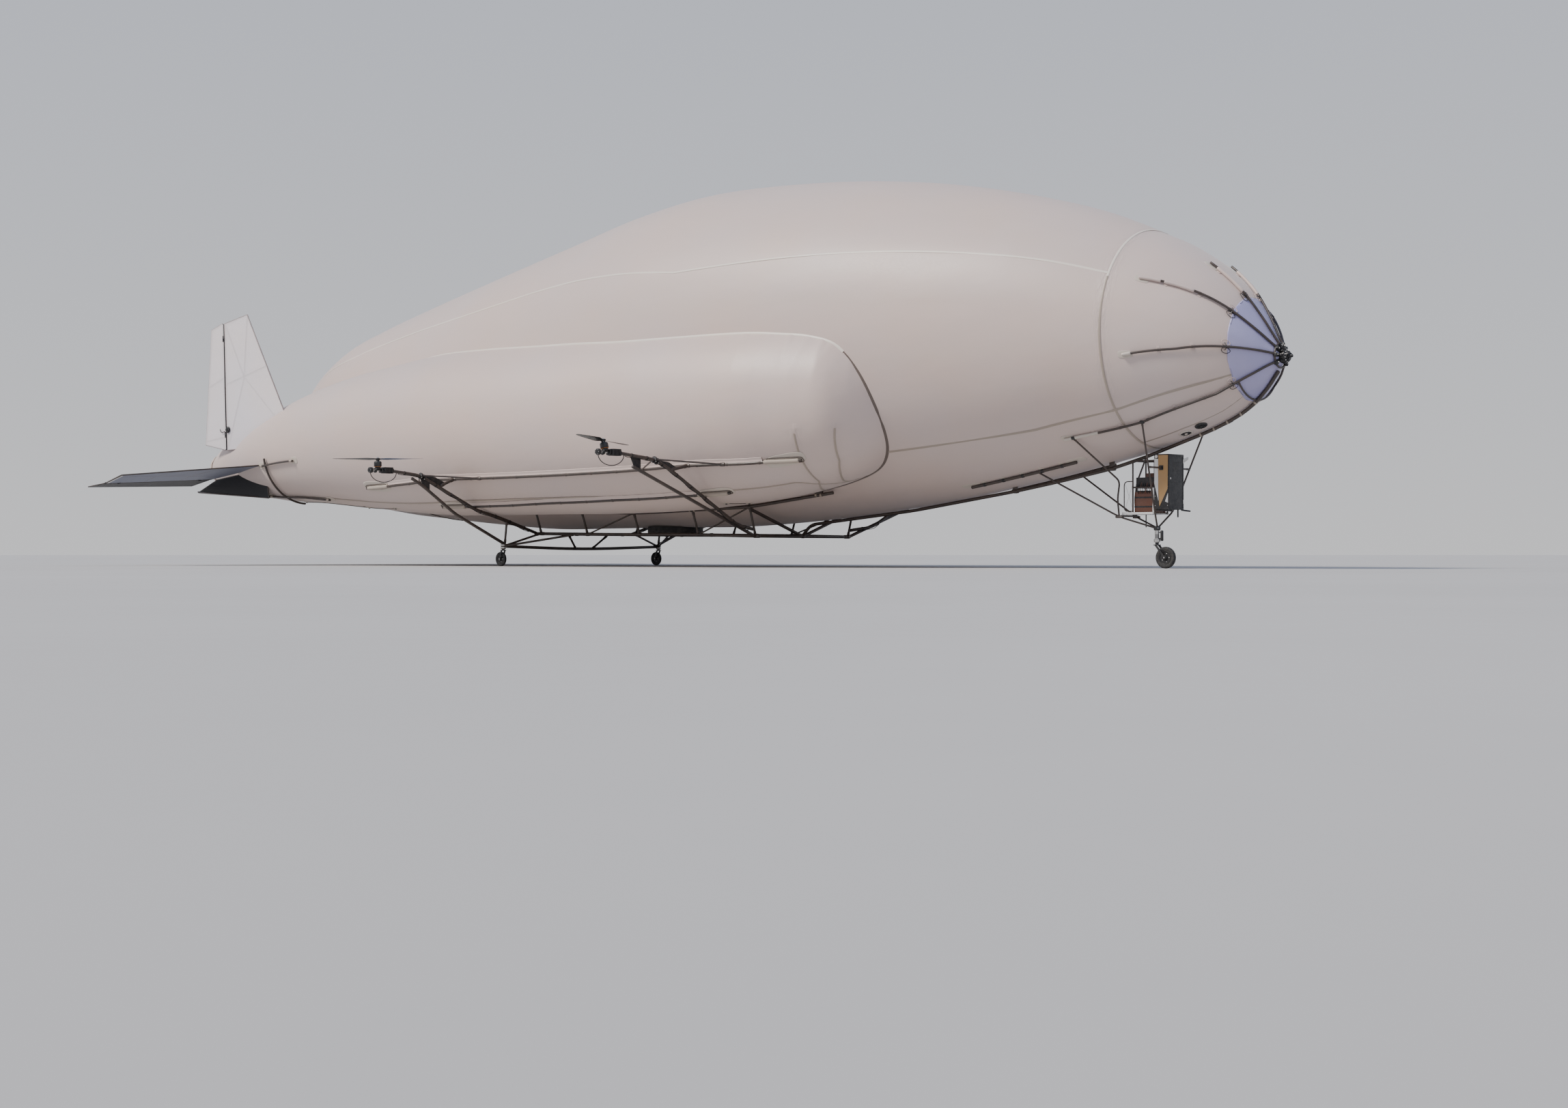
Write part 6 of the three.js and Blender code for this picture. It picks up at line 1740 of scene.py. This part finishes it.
def tail_hoop(hand, side):
    b = Build()
    proud = STRUT / 2 + 0.012
    b.tube([SIDE.skin(side, 19.8, below, proud) for below in range(10, 89, 3)], STRUT)
    for table in ([(18.79, 17), (20.01, 17)], [(18.43, 64), (20.36, 62)]):
        b.tube(laid(SIDE, side, table, proud), STRUT, 0)
        for aft, below in table:
            skin_patch(b, SIDE, side, aft, below, 0.22, 0.14, 1)
            inward = 0.06 if aft == table[0][0] else -0.06
            b.band(SIDE.skin(side, aft + inward, below, proud), FORWARD, STRUT + 0.012, 0.07, 2, 14)
    b.make(f"tail_hoop_tube_{hand}", "airframe", [DARK_TUBE, PATCHES, SLEEVES], [f"tail_hoop_{hand}"])


def underside(aft, port, drop):
    """The hull's lowest skin above a point of the ground plan."""
    _, _, c_up, c_r = CENTRE.at(aft)
    _, s_port, s_up, s_r = SIDE.at(aft)
    lows = [c_up - math.sqrt(c_r ** 2 - port ** 2)] if abs(port) < c_r else []
    if abs(abs(port) - s_port) < s_r:
        lows.append(s_up - math.sqrt(s_r ** 2 - (abs(port) - s_port) ** 2))
    return ship(aft, port, min(lows) - drop)


def belly_stays():
    """Taut lines that lace the tail's underside, each led through small eyes."""
    b = Build()
    for _, side in SIDES:
        b.tube(laid(SIDE, side, TAIL_STAY, 0.001), 0.014, 0, 8)
        b.tube(laid(SIDE, side, FRONT_STAY, 0.001), 0.012, 0, 8)
        plan = [(17.88, 2.46), (18.43, 1.18), (17.71, 0.13)]
        for (aft0, port0), (aft1, port1) in zip(plan, plan[1:]):
            line = zip(evenly(aft0, aft1, 24), evenly(port0, port1, 24))
            b.tube([underside(aft, side * port, 0.001) for aft, port in line], 0.014, 0, 8)
        for aft, below in TAIL_STAY + FRONT_STAY:
            skin_patch(b, SIDE, side, aft, below, 0.10, 0.10, 1)
            b.lathe(SIDE.skin(side, aft, below, 0.0), SIDE.normal(side, aft, below),
                    [(0, 0.018), (0.014, 0.018), (0.018, 0.012), (0.018, 0.0)], 2, 16)
    b.make("belly_stay_lines", "airframe", [ROPE, PATCHES, BLACK_METAL])


apron()
belly_stays()
for hand, side in SIDES:
    tail_hoop(hand, side)

# Floor, light and camera


def floor():
    b = Build()
    rings = []
    for radius in (0.0, 8.0, 20.0, 45.0, 120.0, 400.0):
        rings.append([Vector((radius * math.cos(t) + 0.001, radius * math.sin(t), 0)) for t, _ in around(64)])
    mesh = bpy.data.meshes.new("floor")
    b.rings(rings, caps=(True, False))
    mesh.from_pydata(b.verts, [], b.faces)
    n = Nodes("floor_paint")
    broad = n.spread(n.noise(0.15, 3.0), 0.3, 0.7)
    colour = n.mix(broad, (0.455, 0.445, 0.435), (0.49, 0.48, 0.47))
    n.finish(colour, n.spread(n.noise(4.0, 3.0), 0.3, 0.7, 0.75, 0.9), n.bump(n.noise(30.0, 3.0), 0.05, 0.002))
    mesh.materials.append(n.material)
    piece = bpy.data.objects.new("floor", mesh)
    bpy.context.collection.objects.link(piece)


def sun(name, towards, strength, softness, colour):
    """A soft lamp far off, in the direction given from the ship."""
    data = bpy.data.lights.new(name, "SUN")
    data.energy = strength
    data.angle = math.radians(softness)
    data.color = colour
    lamp = bpy.data.objects.new(name, data)
    lamp.location = Vector(towards) * 40
    lamp.rotation_euler = (-Vector(towards)).to_track_quat("-Z", "Y").to_euler()
    bpy.context.collection.objects.link(lamp)


def studio_world():
    """Soft light from all round, pale at the horizon and cooler overhead."""
    world = bpy.data.worlds.new("studio")
    world.use_nodes = True
    tree = world.node_tree
    back = tree.nodes["Background"]
    coords = tree.nodes.new("ShaderNodeTexCoord")
    split = tree.nodes.new("ShaderNodeSeparateXYZ")
    ramp = tree.nodes.new("ShaderNodeValToRGB")
    ramp.color_ramp.elements[0].color = (0.92, 0.92, 0.94, 1)
    ramp.color_ramp.elements[1].color = (0.42, 0.52, 0.76, 1)
    ramp.color_ramp.elements[1].position = 0.75
    tree.links.new(coords.outputs["Generated"], split.inputs[0])
    tree.links.new(split.outputs["Z"], ramp.inputs[0])
    tree.links.new(ramp.outputs[0], back.inputs["Color"])
    back.inputs["Strength"].default_value = 0.80
    bpy.context.scene.world = world


floor()
sun("key_light", (-0.34, -0.60, 0.72), 3.9, 14, (1.0, 0.945, 0.87))
sun("soft_fill", (0.80, -0.20, 0.56), 0.30, 40, (0.74, 0.84, 1.0))
studio_world()

lens = bpy.data.cameras.new("photo_camera")
lens.lens = 50.4
lens.sensor_width = 36.0
camera = bpy.data.objects.new("photo_camera", lens)
camera.location = (26.35, -28.85, 0.22)
heading = math.radians(40.5)
look = Vector((-math.sin(heading), math.cos(heading), 0))
camera.rotation_euler = look.to_track_quat("-Z", "Y").to_euler()
bpy.context.collection.objects.link(camera)
bpy.context.scene.camera = camera

bpy.context.view_layer.update()
